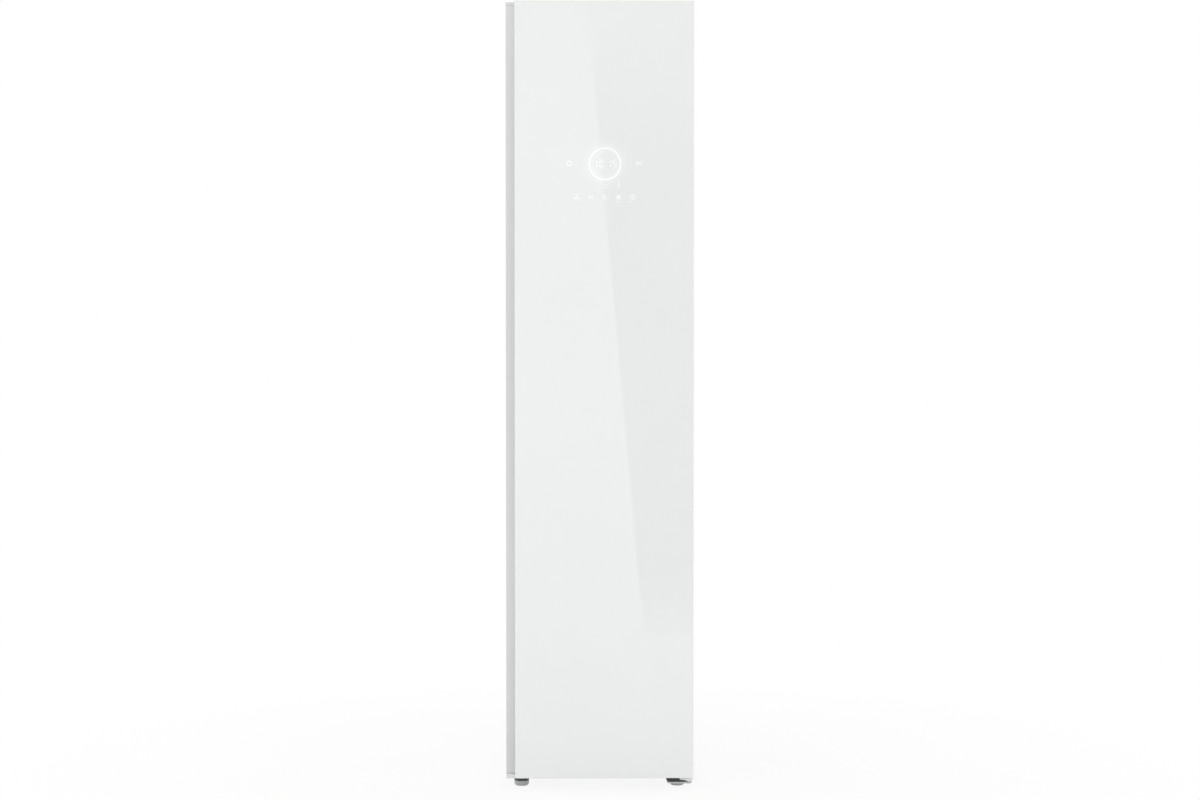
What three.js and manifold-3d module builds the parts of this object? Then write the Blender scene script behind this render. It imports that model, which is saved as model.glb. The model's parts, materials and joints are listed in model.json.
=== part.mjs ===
// Clothes care steam cabinet, free standing, with one glass-fronted door hinged on the right.
// Millimetres. +X is right seen from the front, -Y is the front, +Z is up.
// The origin is on the floor at the middle of the footprint.

import * as THREE from 'three';
import { mergeVertices } from 'three/addons/utils/BufferGeometryUtils.js';
import Module from 'manifold-3d';

const wasm = await Module();
wasm.setup();

// Overall size
const cabinetWidth = 440;
const cabinetHeight = 1850;
const cabinetDepth = 585;

// Gaps and working allowances
const seam = 0.3; // kept between two pieces that touch
const overrun = 3; // how far a cut runs past the face it opens
const roundSides = 24;
const smallSides = 12;

// Door
const doorClearance = 30; // floor to the underside of the glass
const doorThickness = 46; // glass face to the back of the inner panel
const doorSealGap = 12; // inner panel to the front of the body
const doorEdgeInset = 1.5; // frame set in behind the edge of the glass
const doorSkin = 1.2;
const doorFlange = 14;
const doorCapWall = 3;
const doorLinerWall = 2;
const glassThickness = 4;
const glassArris = 0.6;
const plugDepth = 32;
const plugSideGap = 7.3; // plug to the side liner
const plugEndGap = 20; // plug to the chamber's floor and ceiling
const gasketWidth = 14;
const gasketHingeOffset = 2.5; // the seal's right edge stays left of the hinge axis
const gasketTopInset = 14;
const gasketBracketGap = 4; // seal above the lower hinge bracket

// Grip strip
const gripWidth = 21; // strip seen beside the glass
const gripRecess = 18; // strip behind the glass face
const gripUndercut = 12; // finger room behind the edge of the glass
const gripWall = 1.6;
const gripFlange = 14;
const gripEndInset = 1.5;
const gripCapHeight = 7;

// Display
const displayX = 11;
const displayDrop = 418; // top of the glass to the display's middle
const displayWidth = 214;
const displayHeight = 170;
const displayDepth = 6;

// Trouser clamp on the door's plug
const clampDropBelowCeiling = 284.7; // chamber's ceiling to the clamp's axis
const clampHalfWidth = 90;
const clampAxisReach = 9; // hinge axis out from the plug's face
const clampHubRadius = 4.5;
const clampDrop = 30;
const clampBladeThickness = 4;
const clampTipHeight = 6;
const clampPinRadius = 3;
const clampPinLength = 5;
const clampLugWidth = 6;
const clampLugHalfHeight = 9;
const clampSideGap = 1;

// Hinges
const hingeInset = 11.5; // axis in from the cabinet's right side
const hingeSetback = 25; // axis behind the glass face
const hingePinRadius = 4;
const hingePlay = 0.3;
const hingeArmRadius = 9;
const hingePlateThickness = 4;
const hingePlateWidth = 59.5;
const hingePlateSetback = 4;
const hingePlateLength = 46;
const hingeCoverWall = 2;
const hingeCoverScrewRoom = 5;
const hingeCoverTopInset = 2;
const hingeSweepGap = 1.5; // door's notch round the hinge cover
const hingeNotchDrop = 3; // notch floor below the hinge arm
const bushDepth = 12;
const bushEndGap = 1;
const lowerPlateThickness = 4;
const lowerPlateWidth = 57;
const lowerPlateDrop = 11.5; // door's underside to the lower plate
const lowerPlateEdge = 8; // axis to the plate's right edge
const lowerPlateRearEdge = 12; // metal behind the foot's hole
const lowerWebThickness = 4;
const lowerWebHeight = 39.5;
const lowerWasherRadius = 7.5;

// Body shell
const baseHeight = 32;
const hingeHeadroom = 20; // top of the body to the top of the door
const bodySideInset = 1.5;
const sheet = 1;
const frontReturn = 32;
const topCoverHeight = 12;
const topCoverWall = 3;
const headerFlange = 20;
const panWall = 1.5;
const panLip = 22;
const plinthHeight = 46;
const plinthFlange = 40;
const insulationThickness = 29.1;
const linerWall = 2.5;

// Rear service cover and power inlet
const louvreCount = 9;
const louvreWidth = 150;
const louvreHeight = 6;
const louvrePitch = 16;
const louvreStart = 150;
const inletInset = 80; // inlet's middle in from the cabinet's left side
const inletZ = 90;
const inletWidth = 30;
const inletHeight = 22;
const inletFlange = 8;
const inletDepth = 24;
const inletWall = 3;
const inletPinWidth = 4;
const inletPinHeight = 2;
const inletPinPitch = 7;
const inletPinShort = 4;

// Levels of the inside
const tankBayHeight = 218;
const ductHeight = 144;
const chamberFloorWall = 4;
const ceilingWall = 3;
const mechanismHeight = 90;

// Shelf
const shelfZ = 690;
const shelfThickness = 10;
const shelfSideGap = 1.5;
const shelfFrontGap = 30;
const shelfBackGap = 14;
const shelfSlotCount = 9;
const shelfSlotWidth = 22;
const shelfSlotEndMargin = 34;
const ledgeDepth = 11;
const ledgeHeight = 9;
const ledgeEndMargin = 26;

// Chamber fittings
const lampWidth = 120;
const lampDepth = 34;
const lampHeight = 8;
const lampBevel = 4;
const lampSetback = 46;
const outletWidth = 200;
const outletSlotCount = 6;
const outletSlotDepth = 7;
const outletSlotPitch = 13;
const outletBackMargin = 34;

// Lint filter
const filterWidth = 140;
const filterThickness = 12;
const filterDepthBelow = 95;
const filterSetback = 64;
const filterPlay = 1.5;
const filterRimWidth = 8;
const filterRimHeight = 5;
const filterGripHeight = 14;
const filterGripWidth = 60;
const filterGripThickness = 4;
const filterFrame = 9;
const filterMeshThickness = 1.2;

// Tank bay and tanks
const bayDepth = 172;
const bayWall = 2.5;
const bayLegDepth = 14;
const bayLegWidth = 26;
const tankPlay = 1.5;
const tankWall = 2.5;
const tankFrontGap = 4;
const tankHeadroom = 28; // tank's height less than the bay's
const tankLidHeight = 12;
const tankLidWall = 2.5;
const tankGripWidth = 90;
const tankGripHeight = 26;
const tankGripDepth = 16;
const tankGripTopMargin = 34;

// Air duct
const ductHalfWidth = 150;
const ductWall = 2.5;
const ductFrontGap = 18;
const ductBackGap = 8;
const ductLegWidth = 24;
const ductLegDepth = 16;
const coilDepth = 52;
const coilSideGap = 4;
const coilTopGap = 6;
const coilFinCount = 15;
const coilFinThickness = 4;
const coilCoreThickness = 16;
const evaporatorLead = 172; // coil's front face ahead of the fan's middle
const condenserLead = 102;
const fanBackRoom = 147.3; // fan's middle to the back of the chamber
const fanRadius = 55;
const fanTipGap = 3;
const fanHubRadius = 20;
const fanHubDepth = 18;
const fanBladeCount = 7;
const fanBladeThickness = 2.4;
const fanBladeTilt = 0.6;
const fanBladeChord = 16;
const fanSeatGap = 6;
const fanStrutWidth = 16;
const fanStrutThickness = 4;
const fanMotorRadius = 19;
const fanMotorLength = 30;
const fanShaftRadius = 3;
const bulkheadThickness = 3;

// Machine room
const compressorSideGap = 47.5;
const compressorBackGap = 122.5;
const compressorRadius = 50;
const compressorHeight = 165;
const compressorDome = 18;
const compressorPlate = 3;
const compressorPlateReach = 14;
const compressorFootRadius = 9;
const compressorFootHeight = 9;
const generatorSideGap = 22.5;
const generatorBackGap = 72.5;
const generatorWidth = 90;
const generatorDepth = 130;
const generatorHeight = 76;
const generatorBevel = 6;
const generatorPortRadius = 9;
const generatorPortHeight = 8;
const pumpWidth = 46;
const pumpHeight = 44;
const pumpRadius = 17;
const pumpBlockDepth = 30;
const pumpPortRadius = 5;

// Steam pipe
const steamPortRight = 18; // outlet from the generator's middle
const steamPortBack = 30;
const steamRadius = 6;
const nozzleRadius = 11;
const nozzleFlange = 3;
const nozzleHeight = 16;

// Shaker above the chamber's ceiling
const shakeStroke = 12; // each way
const frameHalfLength = 150;
const frameHalfDepth = 75;
const framePlate = 2;
const frameEndHeight = 44;
const guideRadius = 5;
const guideHalfPitch = 40;
const guideHeight = 24; // rod centre above the frame's plate
const guidePlay = 0.5;
const carriageHalfLength = 95;
const carriageHalfDepth = 55;
const carriageHeight = 16;
const crankThrow = 20;
const crankPinRadius = 4;
const crankSlotPlay = 0.6;
const crankLift = 4; // carriage top to the crank's disc
const crankDiscThickness = 6;
const crankHubRadius = 9;
const crankHubHeight = 5;
const crankRim = 3;
const bridgeLift = 3;
const bridgeWall = 2;
const bridgeHalfWidth = 45;
const motorRadius = 22;
const motorHeight = 22;
const motorShaftRadius = 4;
const motorShaftGrip = 8;
const controlWidth = 120;
const controlDepth = 90;
const controlHeight = 36;
const controlX = -60;
const controlBackGap = 20;

// Hanger rail
const railDrop = 45; // chamber ceiling to the rail's centre
const railRadius = 8;
const railHalfLength = 150;
const postRadius = 6;
const postHalfPitch = 76;
const postPlay = 2;
const collarRadius = 11;
const collarThickness = 3;
const collarGap = 4.5; // hanger's middle to the collar's near face

// Hangers
const hangerPitch = 90;
const hookInnerRadius = 9.5;
const hookWireRadius = 2.5;
const hookStartDegrees = -40;
const hookEndDegrees = 200;
const neckDrop = 50; // rail centre to the top of the shoulder piece
const neckHalfWidth = 14;
const hangerEndGap = 36.9; // hanger's end to the door's plug, and to the back
const hangerFall = 96;
const hangerBodyHeight = 34;
const hangerTipHeight = 20;
const hangerThickness = 13;
const hookRoot = 12; // wire held inside the shoulder piece

// Feet and rollers
const footInset = 35; // foot's centre in from the cabinet's side
const footSetback = 22; // foot's centre behind the body's front
const footPadRadius = 17.6;
const footPadHeight = 12.7;
const footPadBevel = 3.5;
const footHolderRadius = 17.5;
const footStemRadius = 6;
const rollerInset = 70;
const rollerBackInset = 38;
const rollerRadius = 16;
const rollerWidth = 22;
const rollerAxleRadius = 4;
const rollerPlay = 0.4;
const earThickness = 2.5;
const earHalfWidth = 10;
const earDrop = 8; // ear below the axle's centre
const earSideGap = 0.8;

// Planes of the outside
const halfWidth = cabinetWidth / 2;
const frontY = -cabinetDepth / 2;
const backY = cabinetDepth / 2;
const bodyHalf = halfWidth - bodySideInset;
const bodyFront = frontY + doorThickness + doorSealGap;
const bodyTop = cabinetHeight - hingeHeadroom;
const sideTop = bodyTop - topCoverHeight - seam;
const skinBack = backY - sheet;
const returnInner = bodyHalf - frontReturn;
const behindReturn = bodyFront + sheet + seam;

// Planes of the inside
const sideInner = bodyHalf - sheet;
const linerOuter = sideInner - seam - insulationThickness - seam;
const linerInner = linerOuter - linerWall;
const linerBack = skinBack - seam - insulationThickness - seam;
const chamberBack = linerBack - linerWall;
const panTop = baseHeight + panWall;
const plinthTop = baseHeight + plinthHeight;
const bayBottom = plinthTop + seam;
const bayTop = bayBottom + tankBayHeight;
const bayBack = bodyFront + bayDepth;
const ductBottom = bayTop + seam;
const ductTop = ductBottom + ductHeight;
const floorBottom = ductTop + seam;
const floorTop = floorBottom + chamberFloorWall;
const ceilingTop = sideTop - mechanismHeight;
const ceilingBottom = ceilingTop - ceilingWall;
const plugBack = frontY + doorThickness + plugDepth;
const railY = (plugBack + chamberBack) / 2;
const railZ = ceilingBottom - railDrop;
const footY = bodyFront + footSetback;
const footX = halfWidth - footInset;
const rollerX = halfWidth - rollerInset;
const tankHeight = tankBayHeight - tankHeadroom;
const fanY = chamberBack - fanBackRoom;
const evaporatorY = fanY - evaporatorLead;
const condenserY = fanY - condenserLead;
const inletX = inletInset - halfWidth;
const compressorX = -(sideInner - compressorSideGap - compressorRadius);
const compressorY = backY - compressorBackGap - compressorRadius;
const generatorX = sideInner - generatorSideGap - generatorWidth / 2;
const generatorY = backY - generatorBackGap - generatorDepth / 2;
const steamX = generatorX + steamPortRight;
const steamY = generatorY + steamPortBack;
const hangerSpan = chamberBack - plugBack - 2 * hangerEndGap;
const clampZ = ceilingBottom - clampDropBelowCeiling;
const displayZ = cabinetHeight - displayDrop;

// Planes of the door, from its own corner: y from the glass face, z from the underside of the glass
const doorHeight = cabinetHeight - doorClearance;
const glassLeft = -halfWidth + gripWidth;
const glassBack = glassThickness + seam;
const frameBack = doorThickness - doorLinerWall - seam;
const frameRight = halfWidth - doorEdgeInset;
const frameBottom = doorEdgeInset;
const frameTop = doorHeight - doorEdgeInset;
const gripInner = glassLeft + gripUndercut;
const gripRight = gripInner + gripFlange;
const gripBottom = gripEndInset + gripCapHeight;
const gripTop = doorHeight - gripBottom;
const plugHalf = linerInner - plugSideGap;
const plugBottom = floorTop + plugEndGap - doorClearance;
const plugTop = ceilingBottom - plugEndGap - doorClearance;
const plugFace = doorThickness + plugDepth;
const hingeX = halfWidth - hingeInset;
const hingeY = frontY + hingeSetback;
const notchLeft = hingeX - hingeArmRadius - hingeCoverWall - hingeSweepGap;
const notchFloor = bodyTop - hingeNotchDrop - doorClearance;
const bushTop = frameBottom + bushDepth;

// Closed outlines drawn out along an axis. Corner pairs are (y, z) on 'x', (x, z) on 'y' and (x, y) on 'z'.
const unitX = new THREE.Vector3(1, 0, 0);
const unitY = new THREE.Vector3(0, 1, 0);
const unitZ = new THREE.Vector3(0, 0, 1);

function drawnShape(axis, shape, from, to, curveSegments = roundSides / 2) {
  const geometry = new THREE.ExtrudeGeometry(shape, {
    depth: to - from,
    bevelEnabled: false,
    curveSegments,
    steps: 1,
  });
  if (axis === 'x') {
    geometry.applyMatrix4(new THREE.Matrix4().makeBasis(unitY, unitZ, unitX));
    return geometry.translate(from, 0, 0);
  }
  if (axis === 'y') {
    geometry.applyMatrix4(new THREE.Matrix4().makeBasis(unitX, unitZ, unitY.clone().negate()));
    return geometry.translate(0, to, 0);
  }
  return geometry.translate(0, 0, from);
}

function drawn(axis, corners, from, to) {
  const shape = new THREE.Shape(corners.map(([a, b]) => new THREE.Vector2(a, b)));
  return drawnShape(axis, shape, from, to);
}

// A block between its lowest and its highest corner.
function block([x0, y0, z0], [x1, y1, z1]) {
  const geometry = new THREE.BoxGeometry(x1 - x0, y1 - y0, z1 - z0);
  return geometry.translate((x0 + x1) / 2, (y0 + y1) / 2, (z0 + z1) / 2);
}

// A round bar that starts at a point and runs along +X, +Y or +Z.
function bar(axis, radius, [x, y, z], length, sides = roundSides) {
  const geometry = new THREE.CylinderGeometry(radius, radius, length, sides);
  if (axis === 'x') {
    geometry.rotateZ(-Math.PI / 2);
    return geometry.translate(x + length / 2, y, z);
  }
  if (axis === 'y') {
    return geometry.translate(x, y + length / 2, z);
  }
  geometry.rotateX(Math.PI / 2);
  return geometry.translate(x, y, z + length / 2);
}

// A round hole cut clean through a wall that starts at a point.
function bore(axis, radius, [x, y, z], wall, sides = smallSides) {
  const offset = { x: [-overrun, 0, 0], y: [0, -overrun, 0], z: [0, 0, -overrun] }[axis];
  return bar(axis, radius, [x + offset[0], y + offset[1], z + offset[2]], wall + 2 * overrun, sides);
}

// A round washer or roller along an axis, flat side down, with a bore.
function ring(axis, outerRadius, boreRadius, from, to, sides = roundSides) {
  const shape = new THREE.Shape();
  const hole = new THREE.Path();
  const step = (2 * Math.PI) / sides;
  for (let i = 0; i < sides; i += 1) {
    const angle = (i + 0.5) * step;
    const place = i === 0 ? 'moveTo' : 'lineTo';
    const reach = outerRadius / Math.cos(step / 2);
    const boreReach = boreRadius / Math.cos(step / 2);
    shape[place](reach * Math.cos(angle), reach * Math.sin(angle));
    hole[place](boreReach * Math.cos(angle), boreReach * Math.sin(angle));
  }
  shape.holes.push(hole);
  return drawnShape(axis, shape, from, to);
}

// Booleans between closed geometries.
function toSolid(geometry) {
  const bare = geometry.clone();
  bare.deleteAttribute('normal');
  bare.deleteAttribute('uv');
  const merged = mergeVertices(bare);
  return new wasm.Manifold(new wasm.Mesh({
    numProp: 3,
    vertProperties: merged.attributes.position.array,
    triVerts: new Uint32Array(merged.index.array),
  }));
}

function toGeometry(solid) {
  const mesh = solid.getMesh();
  const geometry = new THREE.BufferGeometry();
  geometry.setAttribute('position', new THREE.BufferAttribute(new Float32Array(mesh.vertProperties), 3));
  geometry.setIndex(new THREE.BufferAttribute(new Uint32Array(mesh.triVerts), 1));
  geometry.computeVertexNormals();
  return geometry;
}

function join(first, ...others) {
  return toGeometry(others.reduce((solid, other) => solid.add(toSolid(other)), toSolid(first)));
}

function cut(base, ...tools) {
  return toGeometry(tools.reduce((solid, tool) => solid.subtract(toSolid(tool)), toSolid(base)));
}

// Finishes
function finish(color, roughness, metalness = 0) {
  return () => new THREE.MeshStandardMaterial({ color, roughness, metalness });
}

const whiteGlass = finish(0xeef1f0, 0.08);
const paleGrey = finish(0xcfcfcf, 0.45, 0.2);
const capGrey = finish(0xe2e2e2, 0.5);
const whiteSheet = finish(0xe9ebeb, 0.4);
const whitePlastic = finish(0xf0f1f0, 0.45);
const foamCream = finish(0xe8dfb8, 0.9);
const sealGrey = finish(0xc8cacb, 0.7);
const zincPlate = finish(0xc4c8cb, 0.35, 0.9);
const blackPlastic = finish(0x1d1e1f, 0.5);
const darkSteel = finish(0x2a2b2d, 0.5, 0.6);
const steelRod = finish(0xd5d7d8, 0.2, 1);
const castAluminium = finish(0xb9bdc0, 0.5, 0.8);
const greyPlastic = finish(0x8f9497, 0.5);
const boardGreen = finish(0x1f5a3a, 0.6);
const lensMilk = finish(0xf7f7f2, 0.3);
const rubberGrey = finish(0x5a5d60, 0.85);

function piece(parent, name, geometry, material) {
  const mesh = new THREE.Mesh(geometry, material());
  mesh.name = name;
  parent.add(mesh);
  return mesh;
}

const cabinet = new THREE.Group();

// Body shell

function sidePanel(side) {
  const corners = [
    [side * bodyHalf, bodyFront],
    [side * returnInner, bodyFront],
    [side * returnInner, bodyFront + sheet],
    [side * sideInner, bodyFront + sheet],
    [side * sideInner, skinBack - seam],
    [side * bodyHalf, skinBack - seam],
  ];
  return drawn('z', corners, baseHeight, sideTop);
}

piece(cabinet, 'left_side_panel', sidePanel(-1), whiteSheet);
piece(cabinet, 'right_side_panel', sidePanel(1), whiteSheet);

function topCover() {
  const outer = block([-bodyHalf, bodyFront, bodyTop - topCoverHeight], [bodyHalf, backY, bodyTop]);
  const hollow = block(
    [-bodyHalf + topCoverWall, bodyFront + topCoverWall, bodyTop - topCoverHeight - overrun],
    [bodyHalf - topCoverWall, backY - topCoverWall, bodyTop - topCoverWall],
  );
  return cut(outer, hollow);
}

piece(cabinet, 'top_cover', topCover(), whitePlastic);

function headerPanel() {
  const corners = [
    [bodyFront, ceilingBottom],
    [bodyFront + sheet, ceilingBottom],
    [bodyFront + sheet, sideTop - sheet],
    [bodyFront + headerFlange, sideTop - sheet],
    [bodyFront + headerFlange, sideTop],
    [bodyFront, sideTop],
  ];
  return drawn('x', corners, -returnInner + seam, returnInner - seam);
}

piece(cabinet, 'header_panel', headerPanel(), whiteSheet);

function basePan() {
  const half = sideInner - seam;
  const inner = returnInner - seam;
  const back = skinBack - seam;
  const earBottom = rollerRadius - earDrop;
  const axleY = backY - rollerBackInset;
  const earReach = rollerWidth / 2 + earSideGap;
  const parts = [
    block([-inner, bodyFront, baseHeight], [inner, behindReturn + overrun, panTop]),
    block([-inner, bodyFront, baseHeight], [inner, bodyFront + panWall, plinthTop]),
    block([-inner, bodyFront, plinthTop - panWall], [inner, bodyFront + plinthFlange, plinthTop]),
    block([-half, back - panWall, baseHeight], [half, back, baseHeight + panLip]),
  ];
  for (const side of [-1, 1]) {
    const edge = side * half;
    const lip = side * (half - panWall);
    parts.push(block(
      [Math.min(edge, lip), behindReturn, baseHeight],
      [Math.max(edge, lip), back, baseHeight + panLip],
    ));
    for (const face of [-1, 1]) {
      const near = side * rollerX + face * earReach;
      const far = near + face * earThickness;
      parts.push(block(
        [Math.min(near, far), axleY - earHalfWidth, earBottom],
        [Math.max(near, far), axleY + earHalfWidth, panTop],
      ));
    }
    const axleStart = side * rollerX - earReach - earThickness / 2;
    parts.push(bar('x', rollerAxleRadius, [axleStart, axleY, rollerRadius], 2 * earReach + earThickness));
  }
  return join(block([-half, behindReturn, baseHeight], [half, back, panTop]), ...parts);
}

piece(cabinet, 'base_pan', basePan(), zincPlate);

piece(
  cabinet,
  'rear_panel',
  block([-bodyHalf, skinBack, floorBottom + seam], [bodyHalf, backY, sideTop]),
  whiteSheet,
);

function serviceCover() {
  const plate = block([-bodyHalf, skinBack, baseHeight], [bodyHalf, backY, floorBottom]);
  const holes = [block(
    [inletX - inletWidth / 2, skinBack - overrun, inletZ - inletHeight / 2],
    [inletX + inletWidth / 2, backY + overrun, inletZ + inletHeight / 2],
  )];
  for (let i = 0; i < louvreCount; i += 1) {
    const z = louvreStart + i * louvrePitch;
    holes.push(block(
      [-louvreWidth / 2, skinBack - overrun, z],
      [louvreWidth / 2, backY + overrun, z + louvreHeight],
    ));
  }
  return cut(plate, ...holes);
}

piece(cabinet, 'rear_service_cover', serviceCover(), zincPlate);

function powerInlet() {
  const back = skinBack - seam;
  const front = back - inletDepth;
  const halfW = inletWidth / 2;
  const halfH = inletHeight / 2;
  const shell = join(
    block(
      [inletX - halfW - inletFlange, back - inletWall, inletZ - halfH - inletFlange],
      [inletX + halfW + inletFlange, back, inletZ + halfH + inletFlange],
    ),
    block([inletX - halfW, front, inletZ - halfH], [inletX + halfW, back, inletZ + halfH]),
  );
  const socket = block(
    [inletX - halfW + inletWall, front + inletWall, inletZ - halfH + inletWall],
    [inletX + halfW - inletWall, back + overrun, inletZ + halfH - inletWall],
  );
  const pins = [-1, 0, 1].map((i) => block(
    [inletX + i * inletPinPitch - inletPinWidth / 2, front + inletWall / 2, inletZ - inletPinHeight / 2],
    [inletX + i * inletPinPitch + inletPinWidth / 2, back - inletPinShort, inletZ + inletPinHeight / 2],
  ));
  return join(cut(shell, socket), ...pins);
}

piece(cabinet, 'power_inlet', powerInlet(), blackPlastic);

// Insulation and liners

function insulation() {
  const outer = sideInner - seam;
  const inner = linerOuter + seam;
  const corners = [
    [-outer, behindReturn],
    [-inner, behindReturn],
    [-inner, linerBack + seam],
    [inner, linerBack + seam],
    [inner, behindReturn],
    [outer, behindReturn],
    [outer, skinBack - seam],
    [-outer, skinBack - seam],
  ];
  return drawn('z', corners, floorBottom, sideTop - seam);
}

piece(cabinet, 'insulation', insulation(), foamCream);

// A side liner with the moulded ledge that carries the shelf.
function sideLiner(side) {
  const outer = side * linerOuter;
  const inner = side * linerInner;
  const ledge = side * (linerInner - ledgeDepth);
  const ledgeTop = shelfZ - seam;
  const wall = block(
    [Math.min(outer, inner), behindReturn, floorBottom],
    [Math.max(outer, inner), chamberBack - seam, ceilingTop],
  );
  const rib = block(
    [Math.min(outer, ledge), behindReturn + ledgeEndMargin, ledgeTop - ledgeHeight],
    [Math.max(outer, ledge), chamberBack - ledgeEndMargin, ledgeTop],
  );
  return join(wall, rib);
}

piece(cabinet, 'liner_left', sideLiner(-1), whitePlastic);
piece(cabinet, 'liner_right', sideLiner(1), whitePlastic);
piece(
  cabinet,
  'liner_back',
  block([-linerOuter, chamberBack, floorBottom], [linerOuter, linerBack, ceilingTop]),
  whitePlastic,
);

const chamberSide = linerInner - seam;
const chamberFrontEdge = behindReturn;
const chamberBackEdge = chamberBack - seam;
const filterY = bodyFront + filterSetback;

function chamberFloor() {
  const plate = block(
    [-chamberSide, chamberFrontEdge, floorBottom],
    [chamberSide, chamberBackEdge, floorTop],
  );
  const halfSlot = filterThickness / 2 + filterPlay;
  const halfLength = filterWidth / 2 + filterPlay;
  const below = floorBottom - overrun;
  const above = floorTop + overrun;
  const holes = [
    block([-halfLength, filterY - halfSlot, below], [halfLength, filterY + halfSlot, above]),
    bar('z', steamRadius + seam, [steamX, steamY, below], above - below, smallSides),
  ];
  for (let i = 0; i < outletSlotCount; i += 1) {
    const y = chamberBack - outletBackMargin - i * outletSlotPitch;
    holes.push(block([-outletWidth / 2, y - outletSlotDepth, below], [outletWidth / 2, y, above]));
  }
  return cut(plate, ...holes);
}

piece(cabinet, 'chamber_floor', chamberFloor(), whitePlastic);

// A slot for one rail post, long enough for the whole stroke.
function postSlot(side, low, high) {
  const halfLength = postRadius + shakeStroke + postPlay;
  const halfDepth = postRadius + postPlay;
  return block(
    [side * postHalfPitch - halfLength, railY - halfDepth, low],
    [side * postHalfPitch + halfLength, railY + halfDepth, high],
  );
}

piece(
  cabinet,
  'chamber_ceiling',
  cut(
    block([-chamberSide, chamberFrontEdge, ceilingBottom], [chamberSide, chamberBackEdge, ceilingTop]),
    postSlot(-1, ceilingBottom - overrun, ceilingTop + overrun),
    postSlot(1, ceilingBottom - overrun, ceilingTop + overrun),
  ),
  whitePlastic,
);

function lampLens() {
  const front = bodyFront + lampSetback;
  const top = ceilingBottom - seam;
  const corners = [
    [front, top],
    [front + lampBevel, top - lampHeight],
    [front + lampDepth - lampBevel, top - lampHeight],
    [front + lampDepth, top],
  ];
  return drawn('x', corners, -lampWidth / 2, lampWidth / 2);
}

piece(cabinet, 'ceiling_lamp_lens', lampLens(), lensMilk);

function shelf() {
  const half = linerInner - shelfSideGap;
  const front = behindReturn + shelfFrontGap;
  const back = chamberBack - shelfBackGap;
  const plate = block([-half, front, shelfZ], [half, back, shelfZ + shelfThickness]);
  const pitch = (2 * (half - shelfSlotEndMargin) - shelfSlotWidth) / (shelfSlotCount - 1);
  const slots = [];
  for (let i = 0; i < shelfSlotCount; i += 1) {
    const x = -half + shelfSlotEndMargin + i * pitch;
    slots.push(block(
      [x, front + shelfSlotEndMargin, shelfZ - overrun],
      [x + shelfSlotWidth, back - shelfSlotEndMargin, shelfZ + shelfThickness + overrun],
    ));
  }
  return cut(plate, ...slots);
}

piece(cabinet, 'shelf', shelf(), greyPlastic);

// Tank bay, tanks and lids

const bayHalf = returnInner - seam;
const bayInnerBottom = bayBottom + bayWall;
const pocketHalfWidth = (bayHalf - bayWall - bayWall / 2) / 2;

function tankBay() {
  const front = bodyFront + seam;
  const outer = block([-bayHalf, front, bayBottom], [bayHalf, bayBack, bayTop]);
  const pockets = [-1, 1].map((side) => {
    const middle = side * (bayWall / 2 + pocketHalfWidth);
    return block(
      [middle - pocketHalfWidth, front - overrun, bayInnerBottom],
      [middle + pocketHalfWidth, bayBack - bayWall, bayTop - bayWall],
    );
  });
  const legs = [-1, 1].map((side) => {
    const outerEdge = side * bayHalf;
    const innerEdge = side * (bayHalf - bayLegWidth);
    return block(
      [Math.min(outerEdge, innerEdge), bayBack - bayLegDepth, panTop + seam],
      [Math.max(outerEdge, innerEdge), bayBack, bayInnerBottom],
    );
  });
  return join(cut(outer, ...pockets), ...legs);
}

piece(cabinet, 'tank_bay', tankBay(), whitePlastic);

const tankHalfWidth = pocketHalfWidth - tankPlay;
const tankFront = bodyFront + tankFrontGap;
const tankBack = bayBack - bayWall - tankPlay;
const tankBottom = bayInnerBottom + seam;
const tankTop = tankBottom + tankHeight;

function tank(middle) {
  const outer = block(
    [middle - tankHalfWidth, tankFront, tankBottom],
    [middle + tankHalfWidth, tankBack, tankTop],
  );
  const gripHigh = tankTop - tankGripTopMargin;
  const gripLow = gripHigh - tankGripHeight;
  const gripBox = (margin, faceY) => block(
    [middle - tankGripWidth / 2 - margin, faceY, gripLow - margin],
    [middle + tankGripWidth / 2 + margin, tankFront + tankGripDepth + margin, gripHigh + margin],
  );
  const water = block(
    [middle - tankHalfWidth + tankWall, tankFront + tankWall, tankBottom + tankWall],
    [middle + tankHalfWidth - tankWall, tankBack - tankWall, tankTop + overrun],
  );
  const shell = cut(outer, water);
  return cut(join(shell, gripBox(tankWall, tankFront)), gripBox(0, tankFront - overrun));
}

function tankLid(middle) {
  const bottom = tankTop + seam;
  const plate = block(
    [middle - tankHalfWidth, tankFront, bottom],
    [middle + tankHalfWidth, tankBack, bottom + tankLidHeight],
  );
  const dish = block(
    [middle - tankHalfWidth + tankWall, tankFront + tankWall, bottom + tankLidWall],
    [middle + tankHalfWidth - tankWall, tankBack - tankWall, bottom + tankLidHeight + overrun],
  );
  return cut(plate, dish);
}

const tankMiddle = bayWall / 2 + pocketHalfWidth;
piece(cabinet, 'drain_tank', tank(-tankMiddle), lensMilk);
piece(cabinet, 'drain_tank_lid', tankLid(-tankMiddle), greyPlastic);
piece(cabinet, 'supply_tank', tank(tankMiddle), lensMilk);
piece(cabinet, 'supply_tank_lid', tankLid(tankMiddle), greyPlastic);

// Air duct with its two coils and fan

const fanAxisZ = ductBottom + ductHeight / 2;
const bulkheadBack = fanY + bulkheadThickness;
const strutFront = bulkheadBack + fanSeatGap;
const strutBack = strutFront + fanStrutThickness;

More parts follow.
